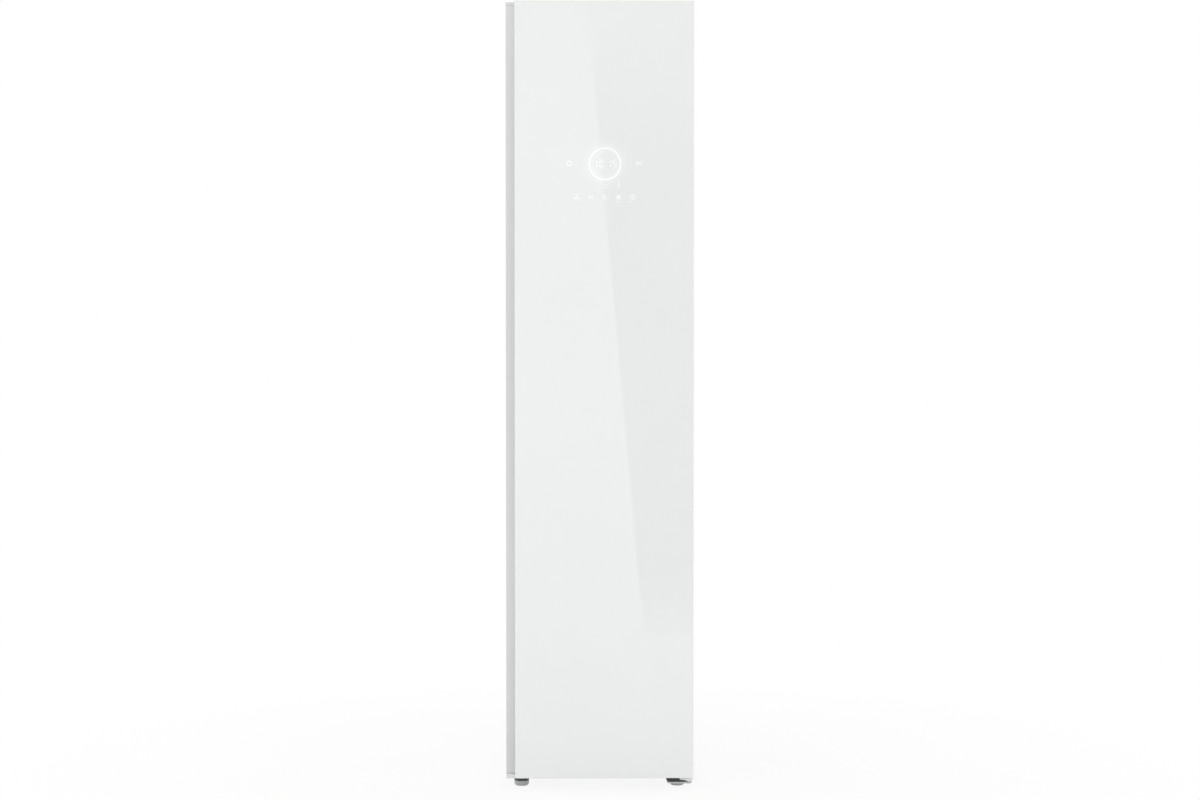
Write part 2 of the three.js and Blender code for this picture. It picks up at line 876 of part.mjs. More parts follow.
function ductTray() {
  const front = bodyFront + ductFrontGap;
  const back = chamberBack - ductBackGap;
  const outer = block([-ductHalfWidth, front, ductBottom], [ductHalfWidth, back, ductTop]);
  const hollow = block(
    [-ductHalfWidth + ductWall, front + ductWall, ductBottom + ductWall],
    [ductHalfWidth - ductWall, back - ductWall, ductTop + overrun],
  );
  // The front wall is as wide as the tank bay below it.
  const frontWall = block([-bayHalf, front, ductBottom], [bayHalf, front + ductWall, ductTop]);
  const bulkhead = cut(
    block([-ductHalfWidth, fanY, ductBottom], [ductHalfWidth, bulkheadBack, ductTop]),
    bore('y', fanRadius + fanTipGap, [0, fanY, fanAxisZ], bulkheadThickness, roundSides),
  );
  const strut = cut(
    block([-fanStrutWidth / 2, strutFront, ductBottom], [fanStrutWidth / 2, strutBack, ductTop]),
    bore('y', fanShaftRadius + seam, [0, strutFront, fanAxisZ], fanStrutThickness),
  );
  const legs = [-1, 1].map((side) => {
    const outerEdge = side * ductHalfWidth;
    const innerEdge = side * (ductHalfWidth - ductLegWidth);
    return block(
      [Math.min(outerEdge, innerEdge), back - ductLegDepth, panTop + seam],
      [Math.max(outerEdge, innerEdge), back, ductBottom + ductWall],
    );
  });
  return join(cut(outer, hollow), frontWall, bulkhead, strut, ...legs);
}

piece(cabinet, 'duct_tray', ductTray(), greyPlastic);

// A finned coil: a core across the duct with upright fins.
function coil(front) {
  const half = ductHalfWidth - ductWall - coilSideGap;
  const bottom = ductBottom + ductWall + seam;
  const top = ductTop - coilTopGap;
  const coreFront = front + (coilDepth - coilCoreThickness) / 2;
  const pitch = (2 * half - coilFinThickness) / (coilFinCount - 1);
  const fins = [];
  for (let i = 0; i < coilFinCount; i += 1) {
    const x = -half + i * pitch;
    fins.push(block([x, front, bottom], [x + coilFinThickness, front + coilDepth, top]));
  }
  return join(block([-half, coreFront, bottom], [half, coreFront + coilCoreThickness, top]), ...fins);
}

piece(cabinet, 'evaporator', coil(evaporatorY), castAluminium);
piece(cabinet, 'condenser', coil(condenserY), castAluminium);

const fanHubFront = fanY - fanHubDepth / 2;
const shaftTip = fanHubFront + fanHubDepth / 2;
piece(
  cabinet,
  'fan_motor',
  join(
    bar('y', fanMotorRadius, [0, strutBack + seam, fanAxisZ], fanMotorLength),
    bar('y', fanShaftRadius, [0, shaftTip, fanAxisZ], strutBack + fanSeatGap - shaftTip, smallSides),
  ),
  darkSteel,
);

const fan = new THREE.Group();
fan.position.set(0, fanHubFront, fanAxisZ);
cabinet.add(fan);

function fanImpeller() {
  const blades = [];
  const length = fanRadius - fanHubRadius / 2;
  for (let i = 0; i < fanBladeCount; i += 1) {
    const blade = block(
      [fanHubRadius / 2, -fanBladeChord / 2, -fanBladeThickness / 2],
      [fanHubRadius / 2 + length, fanBladeChord / 2, fanBladeThickness / 2],
    );
    blade.rotateX(fanBladeTilt);
    blade.translate(0, fanHubDepth / 2, 0);
    blade.rotateY((i * 2 * Math.PI) / fanBladeCount);
    blades.push(blade);
  }
  const hub = bar('y', fanHubRadius, [0, 0, 0], fanHubDepth);
  const bore = bar('y', fanShaftRadius + seam, [0, fanHubDepth / 2 - seam, 0], fanHubDepth, smallSides);
  return cut(join(hub, ...blades), bore);
}

piece(fan, 'fan_impeller', fanImpeller(), blackPlastic);

// Machine room on the base pan

function compressor() {
  const bottom = panTop + seam;
  const plateBottom = bottom + compressorFootHeight - compressorPlate;
  const reach = compressorRadius + compressorPlateReach;
  const circle = new THREE.Shape();
  circle.absarc(0, 0, compressorRadius - compressorDome, 0, 2 * Math.PI);
  const shell = new THREE.ExtrudeGeometry(circle, {
    depth: compressorHeight - 2 * compressorDome,
    bevelEnabled: true,
    bevelThickness: compressorDome,
    bevelSize: compressorDome,
    bevelSegments: 3,
    curveSegments: roundSides / 2,
  });
  shell.translate(compressorX, compressorY, bottom + compressorFootHeight + compressorDome);
  const plate = block(
    [compressorX - reach, compressorY - reach, plateBottom],
    [compressorX + reach, compressorY + reach, plateBottom + 2 * compressorPlate],
  );
  const feet = [];
  for (const sideX of [-1, 1]) {
    for (const sideY of [-1, 1]) {
      const x = compressorX + sideX * (reach - compressorFootRadius);
      const y = compressorY + sideY * (reach - compressorFootRadius);
      feet.push(bar('z', compressorFootRadius, [x, y, bottom], compressorFootHeight, smallSides));
    }
  }
  return join(shell, plate, ...feet);
}

piece(cabinet, 'compressor', compressor(), darkSteel);

const generatorBottom = panTop + seam;
const generatorTop = generatorBottom + generatorHeight;
const generatorFront = generatorY - generatorDepth / 2;

function steamGenerator() {
  const low = -generatorDepth / 2 + generatorY;
  const high = generatorDepth / 2 + generatorY;
  const corners = [
    [low, generatorBottom],
    [high, generatorBottom],
    [high, generatorTop - generatorBevel],
    [high - generatorBevel, generatorTop],
    [low + generatorBevel, generatorTop],
    [low, generatorTop - generatorBevel],
  ];
  const body = drawn('x', corners, generatorX - generatorWidth / 2, generatorX + generatorWidth / 2);
  const port = bar(
    'z',
    generatorPortRadius,
    [steamX, steamY, generatorTop - generatorBevel],
    generatorBevel + generatorPortHeight,
    smallSides,
  );
  return join(body, port);
}

piece(cabinet, 'steam_generator', steamGenerator(), castAluminium);

function feedPump() {
  const front = bayBack + seam;
  const blockBack = front + pumpBlockDepth;
  const bottom = panTop + seam;
  const middleZ = bottom + pumpHeight / 2;
  const body = block(
    [generatorX - pumpWidth / 2, front, bottom],
    [generatorX + pumpWidth / 2, blockBack, bottom + pumpHeight],
  );
  const run = generatorFront - seam - front;
  const motor = bar('y', pumpRadius, [generatorX, front, middleZ], run / 2);
  const port = bar('y', pumpPortRadius, [generatorX, front, middleZ], run, smallSides);
  return join(body, motor, port);
}

piece(cabinet, 'feed_pump', feedPump(), greyPlastic);

function steamPipe() {
  const bottom = generatorTop + generatorPortHeight + seam;
  const seat = floorTop + seam;
  return join(
    bar('z', steamRadius, [steamX, steamY, bottom], seat + nozzleHeight - bottom, smallSides),
    bar('z', nozzleRadius, [steamX, steamY, seat], nozzleFlange),
  );
}

piece(cabinet, 'steam_pipe', steamPipe(), steelRod);

// Shaker: frame with two guide rods and a motor bridge, crank and gear motor

const shakerBottom = ceilingTop + seam;
const shakerTop = shakerBottom + framePlate;
const guideZ = shakerTop + guideHeight;
const carriageBottom = guideZ - carriageHeight / 2;
const carriageTop = guideZ + carriageHeight / 2;
const crankBottom = carriageTop + crankLift;
const crankTop = crankBottom + crankDiscThickness;
const bridgeBottom = crankTop + crankHubHeight + bridgeLift;
const bridgeTop = bridgeBottom + bridgeWall;
const crankY = railY - crankThrow;

function shakerFrame() {
  const legInner = frameHalfDepth - bridgeWall;
  const plate = block(
    [-frameHalfLength, railY - frameHalfDepth, shakerBottom],
    [frameHalfLength, railY + frameHalfDepth, shakerTop],
  );
  const parts = [block(
    [-bridgeHalfWidth, railY - frameHalfDepth, bridgeBottom],
    [bridgeHalfWidth, railY + frameHalfDepth, bridgeTop],
  )];
  for (const side of [-1, 1]) {
    const outerX = side * frameHalfLength;
    const innerX = side * (frameHalfLength - framePlate);
    parts.push(block(
      [Math.min(outerX, innerX), railY - frameHalfDepth, shakerBottom],
      [Math.max(outerX, innerX), railY + frameHalfDepth, shakerTop + frameEndHeight],
    ));
    const outerY = railY + side * frameHalfDepth;
    const innerY = railY + side * legInner;
    parts.push(block(
      [-bridgeHalfWidth, Math.min(outerY, innerY), shakerBottom],
      [bridgeHalfWidth, Math.max(outerY, innerY), bridgeTop],
    ));
    const rodStart = -frameHalfLength + framePlate / 2;
    const rodLength = 2 * frameHalfLength - framePlate;
    const rodY = railY + side * guideHalfPitch;
    parts.push(bar('x', guideRadius, [rodStart, rodY, guideZ], rodLength, smallSides));
  }
  return cut(
    join(plate, ...parts),
    postSlot(-1, shakerBottom - overrun, shakerTop + overrun),
    postSlot(1, shakerBottom - overrun, shakerTop + overrun),
    bore('z', motorShaftRadius + seam, [0, crankY, bridgeBottom], bridgeWall),
  );
}

piece(cabinet, 'shaker_frame', shakerFrame(), zincPlate);

piece(
  cabinet,
  'shaker_motor',
  join(
    bar('z', motorRadius, [0, crankY, bridgeTop + seam], motorHeight),
    bar(
      'z',
      motorShaftRadius,
      [0, crankY, bridgeTop + seam - motorShaftGrip],
      motorShaftGrip + motorHeight / 2,
      smallSides,
    ),
  ),
  darkSteel,
);

piece(
  cabinet,
  'control_box',
  block(
    [controlX - controlWidth / 2, chamberBack - controlBackGap - controlDepth, ceilingTop + seam],
    [controlX + controlWidth / 2, chamberBack - controlBackGap, ceilingTop + seam + controlHeight],
  ),
  blackPlastic,
);

const crankGroup = new THREE.Group();
crankGroup.position.set(0, crankY, crankBottom);
cabinet.add(crankGroup);

function crank() {
  const discRadius = crankThrow + crankPinRadius + crankRim;
  const hubTop = crankDiscThickness + crankHubHeight;
  const shaftBottom = bridgeTop + seam - motorShaftGrip - crankBottom - seam;
  const pinLength = crankLift + carriageHeight / 2;
  return cut(
    join(
      bar('z', discRadius, [0, 0, 0], crankDiscThickness),
      bar('z', crankHubRadius, [0, 0, 0], hubTop),
      bar('z', crankPinRadius, [0, crankThrow, -pinLength], pinLength + crankDiscThickness / 2, smallSides),
    ),
    bar('z', motorShaftRadius + seam, [0, 0, shaftBottom], hubTop, smallSides),
  );
}

piece(crankGroup, 'crank', crank(), castAluminium);

// Hanger rail: carriage on the guide rods, two posts through the ceiling, round bar with collars

const rail = new THREE.Group();
rail.position.set(0, railY, railZ);
cabinet.add(rail);

const hangerPlaces = [-1, 0, 1].map((i) => i * hangerPitch);

function hangerRail() {
  const low = carriageBottom - railZ;
  const high = carriageTop - railZ;
  const carriage = block(
    [-carriageHalfLength, -carriageHalfDepth, low],
    [carriageHalfLength, carriageHalfDepth, high],
  );
  const tools = [-1, 1].map((side) => bar(
    'x',
    guideRadius + guidePlay,
    [-carriageHalfLength - overrun, side * guideHalfPitch, guideZ - railZ],
    2 * (carriageHalfLength + overrun),
    smallSides,
  ));
  const slotHalf = crankPinRadius + crankSlotPlay;
  tools.push(block(
    [-slotHalf, -slotHalf - crankThrow / 2, low - overrun],
    [slotHalf, slotHalf + crankThrow / 2, high + overrun],
  ));
  const parts = [bar('x', railRadius, [-railHalfLength, 0, 0], 2 * railHalfLength)];
  for (const side of [-1, 1]) {
    parts.push(bar('z', postRadius, [side * postHalfPitch, 0, 0], low + carriageHeight / 2, smallSides));
  }
  for (const x of hangerPlaces) {
    parts.push(bar('x', collarRadius, [x - collarGap - collarThickness, 0, 0], collarThickness, smallSides));
    parts.push(bar('x', collarRadius, [x + collarGap, 0, 0], collarThickness, smallSides));
  }
  return join(cut(carriage, ...tools), ...parts);
}

piece(rail, 'hanger_rail', hangerRail(), steelRod);

// One hanger, from the rail's centre: a wire hook over the bar and a moulded shoulder piece below.
function hanger() {
  const half = hangerSpan / 2;
  const neckZ = -neckDrop;
  const tipZ = neckZ - hangerFall;
  const outline = new THREE.Shape();
  const shoulderShare = 0.22;
  const armpitShare = 0.55;
  const bowShare = 0.62;
  const nearX = half * shoulderShare;
  const farX = half * armpitShare;
  const underZ = neckZ - hangerBodyHeight;
  outline.moveTo(-neckHalfWidth, neckZ);
  outline.lineTo(neckHalfWidth, neckZ);
  outline.quadraticCurveTo(nearX, neckZ - hangerFall * shoulderShare * bowShare, half, tipZ);
  outline.lineTo(half, tipZ - hangerTipHeight);
  outline.quadraticCurveTo(farX, underZ - hangerFall * shoulderShare, 0, underZ);
  outline.quadraticCurveTo(-farX, underZ - hangerFall * shoulderShare, -half, tipZ - hangerTipHeight);
  outline.lineTo(-half, tipZ);
  outline.quadraticCurveTo(-nearX, neckZ - hangerFall * shoulderShare * bowShare, -neckHalfWidth, neckZ);
  const shoulders = drawnShape('x', outline, -hangerThickness / 2, hangerThickness / 2, smallSides / 2);
  const bend = hookInnerRadius + hookWireRadius;
  const bendZ = railRadius + seam - hookInnerRadius;
  const bendSteps = 8;
  const points = [];
  for (let i = 0; i <= bendSteps; i += 1) {
    const degrees = hookStartDegrees + (i * (hookEndDegrees - hookStartDegrees)) / bendSteps;
    const angle = THREE.MathUtils.degToRad(degrees);
    points.push(new THREE.Vector3(0, bend * Math.cos(angle), bendZ + bend * Math.sin(angle)));
  }
  points.push(new THREE.Vector3(0, 0, bendZ - 2 * bend));
  points.push(new THREE.Vector3(0, 0, neckZ));
  points.push(new THREE.Vector3(0, 0, neckZ - hookRoot));
  const section = new THREE.Shape();
  section.absarc(0, 0, hookWireRadius, 0, 2 * Math.PI);
  const hook = new THREE.ExtrudeGeometry(section, {
    steps: roundSides + smallSides / 2,
    curveSegments: 4,
    bevelEnabled: false,
    extrudePath: new THREE.CatmullRomCurve3(points),
  });
  return join(shoulders, hook);
}

hangerPlaces.forEach((x, index) => {
  const place = new THREE.Group();
  place.position.set(x, 0, 0);
  rail.add(place);
  piece(place, `hanger_${index + 1}`, hanger(), castAluminium);
});

// Lint filter standing in the floor's slot, lifted out by its grip

function lintFilter() {
  const half = filterWidth / 2;
  const halfThick = filterThickness / 2;
  const bottom = floorTop - filterDepthBelow;
  const rimBottom = floorTop + seam;
  const rimTop = rimBottom + filterRimHeight;
  const recess = (filterThickness - filterMeshThickness) / 2;
  const windows = [-1, 1].map((side) => {
    const faceY = side * halfThick;
    const meshY = side * (halfThick - recess);
    const past = faceY + side * overrun;
    return block(
      [-half + filterFrame, filterY + Math.min(past, meshY), bottom + filterFrame],
      [half - filterFrame, filterY + Math.max(past, meshY), floorBottom - filterFrame],
    );
  });
  const frame = cut(
    block([-half, filterY - halfThick, bottom], [half, filterY + halfThick, rimTop]),
    ...windows,
  );
  const rim = block(
    [-half - filterRimWidth, filterY - halfThick - filterRimWidth, rimBottom],
    [half + filterRimWidth, filterY + halfThick + filterRimWidth, rimTop],
  );
  const grip = block(
    [-filterGripWidth / 2, filterY - filterGripThickness / 2, rimBottom],
    [filterGripWidth / 2, filterY + filterGripThickness / 2, rimTop + filterGripHeight],
  );
  return join(frame, rim, grip);
}

piece(cabinet, 'lint_filter', lintFilter(), greyPlastic);

// Upper hinge on top of the body

// The hinge plate's outline grown by a margin: a wide foot on the body and a round-nosed arm over the door.
function hingeOutline(margin, low, high) {
  const right = hingeX + hingeArmRadius + margin;
  const front = bodyFront + hingePlateSetback - margin;
  const back = bodyFront + hingePlateSetback + hingePlateLength + margin;
  const left = hingeX + hingeArmRadius - hingePlateWidth - margin;
  return join(
    block([left, front, low], [right, back, high]),
    block([hingeX - hingeArmRadius - margin, hingeY, low], [right, back, high]),
    bar('z', hingeArmRadius + margin, [hingeX, hingeY, low], high - low),
  );
}

const hingeBottom = bodyTop + seam;
const hingePlateTop = hingeBottom + hingePlateThickness;
const upperBushBottom = notchFloor + doorClearance - bushDepth;

piece(
  cabinet,
  'upper_hinge_bracket',
  join(
    hingeOutline(0, hingeBottom, hingePlateTop),
    bar(
      'z',
      hingePinRadius,
      [hingeX, hingeY, upperBushBottom + bushEndGap],
      hingePlateTop - upperBushBottom - bushEndGap,
      smallSides,
    ),
  ),
  zincPlate,
);

piece(
  cabinet,
  'upper_hinge_cover',
  cut(
    hingeOutline(hingeCoverWall, hingeBottom, cabinetHeight - hingeCoverTopInset),
    hingeOutline(seam, hingeBottom - overrun, hingePlateTop + hingeCoverScrewRoom),
  ),
  whitePlastic,
);

// Lower hinge under the door, bolted to the plinth, with the right foot's holder through its plate

const lowerPlateTop = doorClearance - lowerPlateDrop;
const lowerPlateBottom = lowerPlateTop - lowerPlateThickness;

function lowerHingeBracket() {
  const right = hingeX + lowerPlateEdge;
  const left = right - lowerPlateWidth;
  const back = footY + footHolderRadius + lowerPlateRearEdge;
  const plate = cut(
    block([left, hingeY - hingeArmRadius, lowerPlateBottom], [right, back, lowerPlateTop]),
    bore('z', footHolderRadius + seam, [footX, footY, lowerPlateBottom], lowerPlateThickness, roundSides),
  );
  const web = block(
    [left, bodyFront - seam - lowerWebThickness, lowerPlateBottom],
    [right, bodyFront - seam, lowerPlateBottom + lowerWebHeight],
  );
  const washerTop = doorClearance + frameBottom - seam;
  const pinTop = doorClearance + bushTop - bushEndGap;
  return join(
    plate,
    web,
    bar('z', lowerWasherRadius, [hingeX, hingeY, lowerPlateBottom], washerTop - lowerPlateBottom),
    bar('z', hingePinRadius, [hingeX, hingeY, lowerPlateBottom], pinTop - lowerPlateBottom, smallSides),
  );
}

piece(cabinet, 'lower_hinge_bracket', lowerHingeBracket(), zincPlate);

// Front feet in their holders, rear rollers on the pan's axles

for (const [side, label] of [[-1, 'left'], [1, 'right']]) {
  const holder = ring('z', footHolderRadius, footStemRadius + seam, footPadHeight + seam, baseHeight - seam);
  piece(cabinet, `foot_holder_${label}`, holder.translate(side * footX, footY, 0), blackPlastic);

  const foot = new THREE.Group();
  foot.position.set(side * footX, footY, 0);
  cabinet.add(foot);
  const padCircle = new THREE.Shape();
  padCircle.absarc(0, 0, footPadRadius - footPadBevel, 0, 2 * Math.PI);
  const pad = new THREE.ExtrudeGeometry(padCircle, {
    depth: footPadHeight - 2 * footPadBevel,
    bevelEnabled: true,
    bevelThickness: footPadBevel,
    bevelSize: footPadBevel,
    bevelSegments: 1,
    curveSegments: roundSides / 2,
  });
  pad.translate(0, 0, footPadBevel);
  const stemLength = baseHeight - footPadHeight / 2 - seam - seam;
  const stem = bar('z', footStemRadius, [0, 0, footPadHeight / 2], stemLength, smallSides);
  piece(foot, `foot_${label}`, join(pad, stem), capGrey);

  const roller = new THREE.Group();
  roller.position.set(side * rollerX, backY - rollerBackInset, rollerRadius);
  cabinet.add(roller);
  piece(
    roller,
    `roller_${label}`,
    ring('x', rollerRadius, rollerAxleRadius + rollerPlay, -rollerWidth / 2, rollerWidth / 2),
    rubberGrey,
  );
}

// Door

const door = new THREE.Group();
door.position.set(0, frontY, doorClearance);
cabinet.add(door);

function doorGlass() {
  const corners = [
    [glassLeft + glassArris, glassArris],
    [halfWidth - glassArris, glassArris],
    [halfWidth - glassArris, doorHeight - glassArris],
    [glassLeft + glassArris, doorHeight - glassArris],
  ];
  const shape = new THREE.Shape(corners.map(([x, z]) => new THREE.Vector2(x, z)));
  const geometry = new THREE.ExtrudeGeometry(shape, {
    depth: glassThickness - 2 * glassArris,
    bevelEnabled: true,
    bevelThickness: glassArris,
    bevelSize: glassArris,
    bevelSegments: 1,
  });
  geometry.rotateX(Math.PI / 2);
  return geometry.translate(0, glassThickness - glassArris, 0);
}

piece(door, 'door_glass', doorGlass(), whiteGlass);

// The strip's section: back edge, recessed face, finger undercut and the flange behind the glass.
function gripProfile() {
  const corners = [
    [-halfWidth, frameBack],
    [-halfWidth, gripRecess],
    [gripInner, gripRecess],
    [gripInner, glassBack],
    [gripRight, glassBack],
    [gripRight, glassBack + gripWall],
    [gripInner + gripWall, glassBack + gripWall],
    [gripInner + gripWall, gripRecess + gripWall],
    [-halfWidth + gripWall, gripRecess + gripWall],
    [-halfWidth + gripWall, frameBack],
  ];
  return drawn('z', corners, gripBottom + seam, gripTop - seam);
}

piece(door, 'grip_profile', gripProfile(), paleGrey);

const gripCapBack = [
  [gripRight, glassBack],
  [gripRight, frameBack],
  [-halfWidth, frameBack],
  [-halfWidth, gripRecess],
];

// The bottom cap slopes out to the glass and closes the finger channel. The top cap leaves it open.
const bottomCapCorners = [...gripCapBack, [glassLeft, glassBack]];
const topCapCorners = [...gripCapBack, [gripInner, gripRecess], [gripInner, glassBack]];

piece(door, 'grip_cap_bottom', drawn('z', bottomCapCorners, gripEndInset, gripBottom), capGrey);
piece(door, 'grip_cap_top', drawn('z', topCapCorners, gripTop, doorHeight - gripEndInset), paleGrey);

const capLeft = gripRight + seam;
const notchWallLeft = notchLeft - doorCapWall;
const notchBushBottom = notchFloor - bushDepth;

// Top cap of the door, stepped down round the upper hinge, with the bush bore in the step's floor.
function doorCapTop() {
  const corners = [
    [capLeft, frameTop - doorCapWall],
    [notchWallLeft, frameTop - doorCapWall],
    [notchWallLeft, notchBushBottom],
    [frameRight, notchBushBottom],
    [frameRight, notchFloor],
    [notchLeft, notchFloor],
    [notchLeft, frameTop],
    [capLeft, frameTop],
  ];
  return cut(
    drawn('y', corners, glassBack, frameBack),
    bore('z', hingePinRadius + hingePlay, [hingeX, hingeSetback, notchBushBottom], bushDepth),
  );
}

piece(door, 'door_cap_top', doorCapTop(), whitePlastic);

function doorCapBottom() {
  const corners = [
    [capLeft, frameBottom],
    [frameRight, frameBottom],
    [frameRight, bushTop],
    [notchLeft, bushTop],
    [notchLeft, frameBottom + doorCapWall],
    [capLeft, frameBottom + doorCapWall],
  ];
  return cut(
    drawn('y', corners, glassBack, frameBack),
    bore('z', hingePinRadius + hingePlay, [hingeX, hingeSetback, frameBottom], bushDepth),
  );
}

piece(door, 'door_cap_bottom', doorCapBottom(), whitePlastic);

function doorFrameRight() {
  const corners = [
    [frameRight, glassBack],
    [frameRight, frameBack],
    [frameRight - doorSkin, frameBack],
    [frameRight - doorSkin, glassBack + doorSkin],
    [frameRight - doorFlange, glassBack + doorSkin],
    [frameRight - doorFlange, glassBack],
  ];
  return drawn('z', corners, bushTop + seam, notchBushBottom - seam);
}

piece(door, 'door_frame_right', doorFrameRight(), whiteSheet);

function doorFoam() {
  const back = frameBack;
  const top = frameTop - doorCapWall - seam;
  const bottom = frameBottom + doorCapWall + seam;
  const left = gripRight + seam;
  const low = gripBottom + seam;
  const high = gripTop - seam;
  const displayHalf = displayWidth / 2 + seam;
  const displayLow = displayZ - doorClearance - displayHeight / 2 - seam;
  const displayHigh = displayLow + displayHeight + 2 * seam;
  const filled = join(
    block([left, glassBack, bottom], [frameRight - doorSkin - seam, back, top]),
    block([gripInner + gripWall + seam, glassBack + gripWall + seam, low], [left + overrun, back, high]),
    block([-halfWidth + gripWall + seam, gripRecess + gripWall + seam, low], [left + overrun, back, high]),
    block(
      [-plugHalf + doorLinerWall + seam, back - overrun, plugBottom + doorLinerWall + seam],
      [plugHalf - doorLinerWall - seam, plugFace - doorLinerWall - seam, plugTop - doorLinerWall - seam],
    ),
  );
  return cut(
    filled,
    block(
      [notchLeft - seam, glassBack - overrun, bottom - overrun],
      [frameRight + overrun, back + overrun, bushTop + seam],
    ),
    block(
      [notchWallLeft - seam, glassBack - overrun, notchBushBottom - seam],
      [frameRight + overrun, back + overrun, top + overrun],
    ),
    block(
      [frameRight - doorFlange - seam, glassBack - overrun, bottom - overrun],
      [frameRight + overrun, glassBack + doorSkin + seam, top + overrun],
    ),
    block(
      [displayX - displayHalf, glassBack - overrun, displayLow],
      [displayX + displayHalf, glassBack + displayDepth + seam, displayHigh],
    ),
  );
}

piece(door, 'door_foam', doorFoam(), foamCream);

piece(
  door,
  'display_board',
  block(
    [displayX - displayWidth / 2, glassBack, displayZ - doorClearance - displayHeight / 2],
    [displayX + displayWidth / 2, glassBack + displayDepth, displayZ - doorClearance + displayHeight / 2],
  ),
  boardGreen,
);

const clampY = plugFace + clampAxisReach;
const clampLocalZ = clampZ - doorClearance;
const clampInner = clampHalfWidth + clampSideGap;
const clampPinReach = clampHalfWidth + clampSideGap + clampPinLength;

// Inner panel: flat rim, plug into the chamber, lugs for the trouser clamp.
function doorLiner() {
  const rim = block(
    [-halfWidth, doorThickness - doorLinerWall, frameBottom],
    [frameRight, doorThickness, frameTop],
  );
  const plug = block([-plugHalf, doorThickness - doorLinerWall, plugBottom], [plugHalf, plugFace, plugTop]);
  const hollow = block(
    [-plugHalf + doorLinerWall, doorThickness - doorLinerWall - overrun, plugBottom + doorLinerWall],
    [plugHalf - doorLinerWall, plugFace - doorLinerWall, plugTop - doorLinerWall],
  );
  const notch = block(
    [notchLeft, doorThickness - doorLinerWall - overrun, notchFloor],
    [frameRight + overrun, doorThickness + overrun, frameTop + overrun],
  );
  const lugBack = clampY + clampHubRadius + clampBladeThickness / 2;
  const lugs = [-1, 1].map((side) => {
    const near = side * clampInner;
    const far = side * (clampInner + clampLugWidth);
    return block(
      [Math.min(near, far), plugFace - doorLinerWall, clampLocalZ - clampLugHalfHeight],
      [Math.max(near, far), lugBack, clampLocalZ + clampLugHalfHeight],
    );
  });
  const pinHole = bar(
    'x',
    clampPinRadius + seam,
    [-clampInner - clampLugWidth - overrun, clampY, clampLocalZ],
    2 * (clampInner + clampLugWidth + overrun),
    smallSides,
  );
  return cut(join(cut(join(rim, plug), hollow, notch), ...lugs), pinHole);
}

piece(door, 'door_liner', doorLiner(), whitePlastic);

const clamp = new THREE.Group();
clamp.position.set(0, clampY, clampLocalZ);
door.add(clamp);

function clampJaw() {
  const tipY = -clampAxisReach + seam;
  const halfBlade = clampBladeThickness / 2;
  return join(
    block([-clampHalfWidth, -halfBlade, -clampDrop], [clampHalfWidth, halfBlade, 0]),
    block([-clampHalfWidth, tipY, -clampDrop], [clampHalfWidth, halfBlade, -clampDrop + clampTipHeight]),
    bar('x', clampHubRadius, [-clampHalfWidth, 0, 0], 2 * clampHalfWidth, smallSides),
    bar('x', clampPinRadius, [-clampPinReach, 0, 0], 2 * clampPinReach, smallSides),
  );
}

piece(clamp, 'clamp_jaw', clampJaw(), greyPlastic);

function doorGasket() {
  const half = hingeX - gasketHingeOffset;
  const bottom = lowerPlateBottom + lowerWebHeight + gasketBracketGap - doorClearance;
  const top = sideTop - gasketTopInset - doorClearance;
  const outline = new THREE.Shape([
    new THREE.Vector2(-half, bottom),
    new THREE.Vector2(half, bottom),
    new THREE.Vector2(half, top),
    new THREE.Vector2(-half, top),
  ]);
  outline.holes.push(new THREE.Path([
    new THREE.Vector2(-half + gasketWidth, bottom + gasketWidth),
    new THREE.Vector2(half - gasketWidth, bottom + gasketWidth),
    new THREE.Vector2(half - gasketWidth, top - gasketWidth),
    new THREE.Vector2(-half + gasketWidth, top - gasketWidth),
  ]));
  return drawnShape('y', outline, doorThickness + seam, doorThickness + doorSealGap - seam);
}

piece(door, 'door_gasket', doorGasket(), sealGrey);

export default cabinet;
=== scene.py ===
"""Clothes care steam cabinet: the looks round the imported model.

One tall white cabinet with a glass-fronted door, hinged on the right.
Shapes are made in millimetres, with +X right, -Y the front and +Z up.
"""
import json
import math

import bmesh
import bpy
from mathutils import Matrix, Vector

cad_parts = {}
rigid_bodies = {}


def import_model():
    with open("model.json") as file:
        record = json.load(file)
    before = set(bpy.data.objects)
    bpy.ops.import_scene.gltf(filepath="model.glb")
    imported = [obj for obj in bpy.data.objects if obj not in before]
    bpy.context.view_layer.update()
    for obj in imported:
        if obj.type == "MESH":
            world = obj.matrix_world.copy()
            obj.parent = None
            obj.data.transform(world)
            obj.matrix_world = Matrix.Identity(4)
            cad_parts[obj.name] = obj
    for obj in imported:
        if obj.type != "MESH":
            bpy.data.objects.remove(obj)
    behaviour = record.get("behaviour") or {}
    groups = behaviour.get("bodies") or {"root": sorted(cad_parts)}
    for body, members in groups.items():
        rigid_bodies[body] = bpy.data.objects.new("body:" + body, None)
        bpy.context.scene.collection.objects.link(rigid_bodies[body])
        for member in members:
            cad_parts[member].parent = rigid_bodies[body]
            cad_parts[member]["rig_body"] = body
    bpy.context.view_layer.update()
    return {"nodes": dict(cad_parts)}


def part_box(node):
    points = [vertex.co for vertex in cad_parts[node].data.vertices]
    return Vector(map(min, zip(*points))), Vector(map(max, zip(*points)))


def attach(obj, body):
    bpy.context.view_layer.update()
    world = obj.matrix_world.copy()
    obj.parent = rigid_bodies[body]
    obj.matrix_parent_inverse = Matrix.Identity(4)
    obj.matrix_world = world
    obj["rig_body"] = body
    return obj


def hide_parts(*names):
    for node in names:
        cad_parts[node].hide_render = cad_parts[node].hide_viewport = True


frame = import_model()
scene = bpy.context.scene
scene.view_settings.view_transform = "Standard"

MM = 1000  # millimetres in a metre
TO_METRES = Matrix.Scale(1 / MM, 4)
TO_MM = Matrix.Scale(MM, 4)

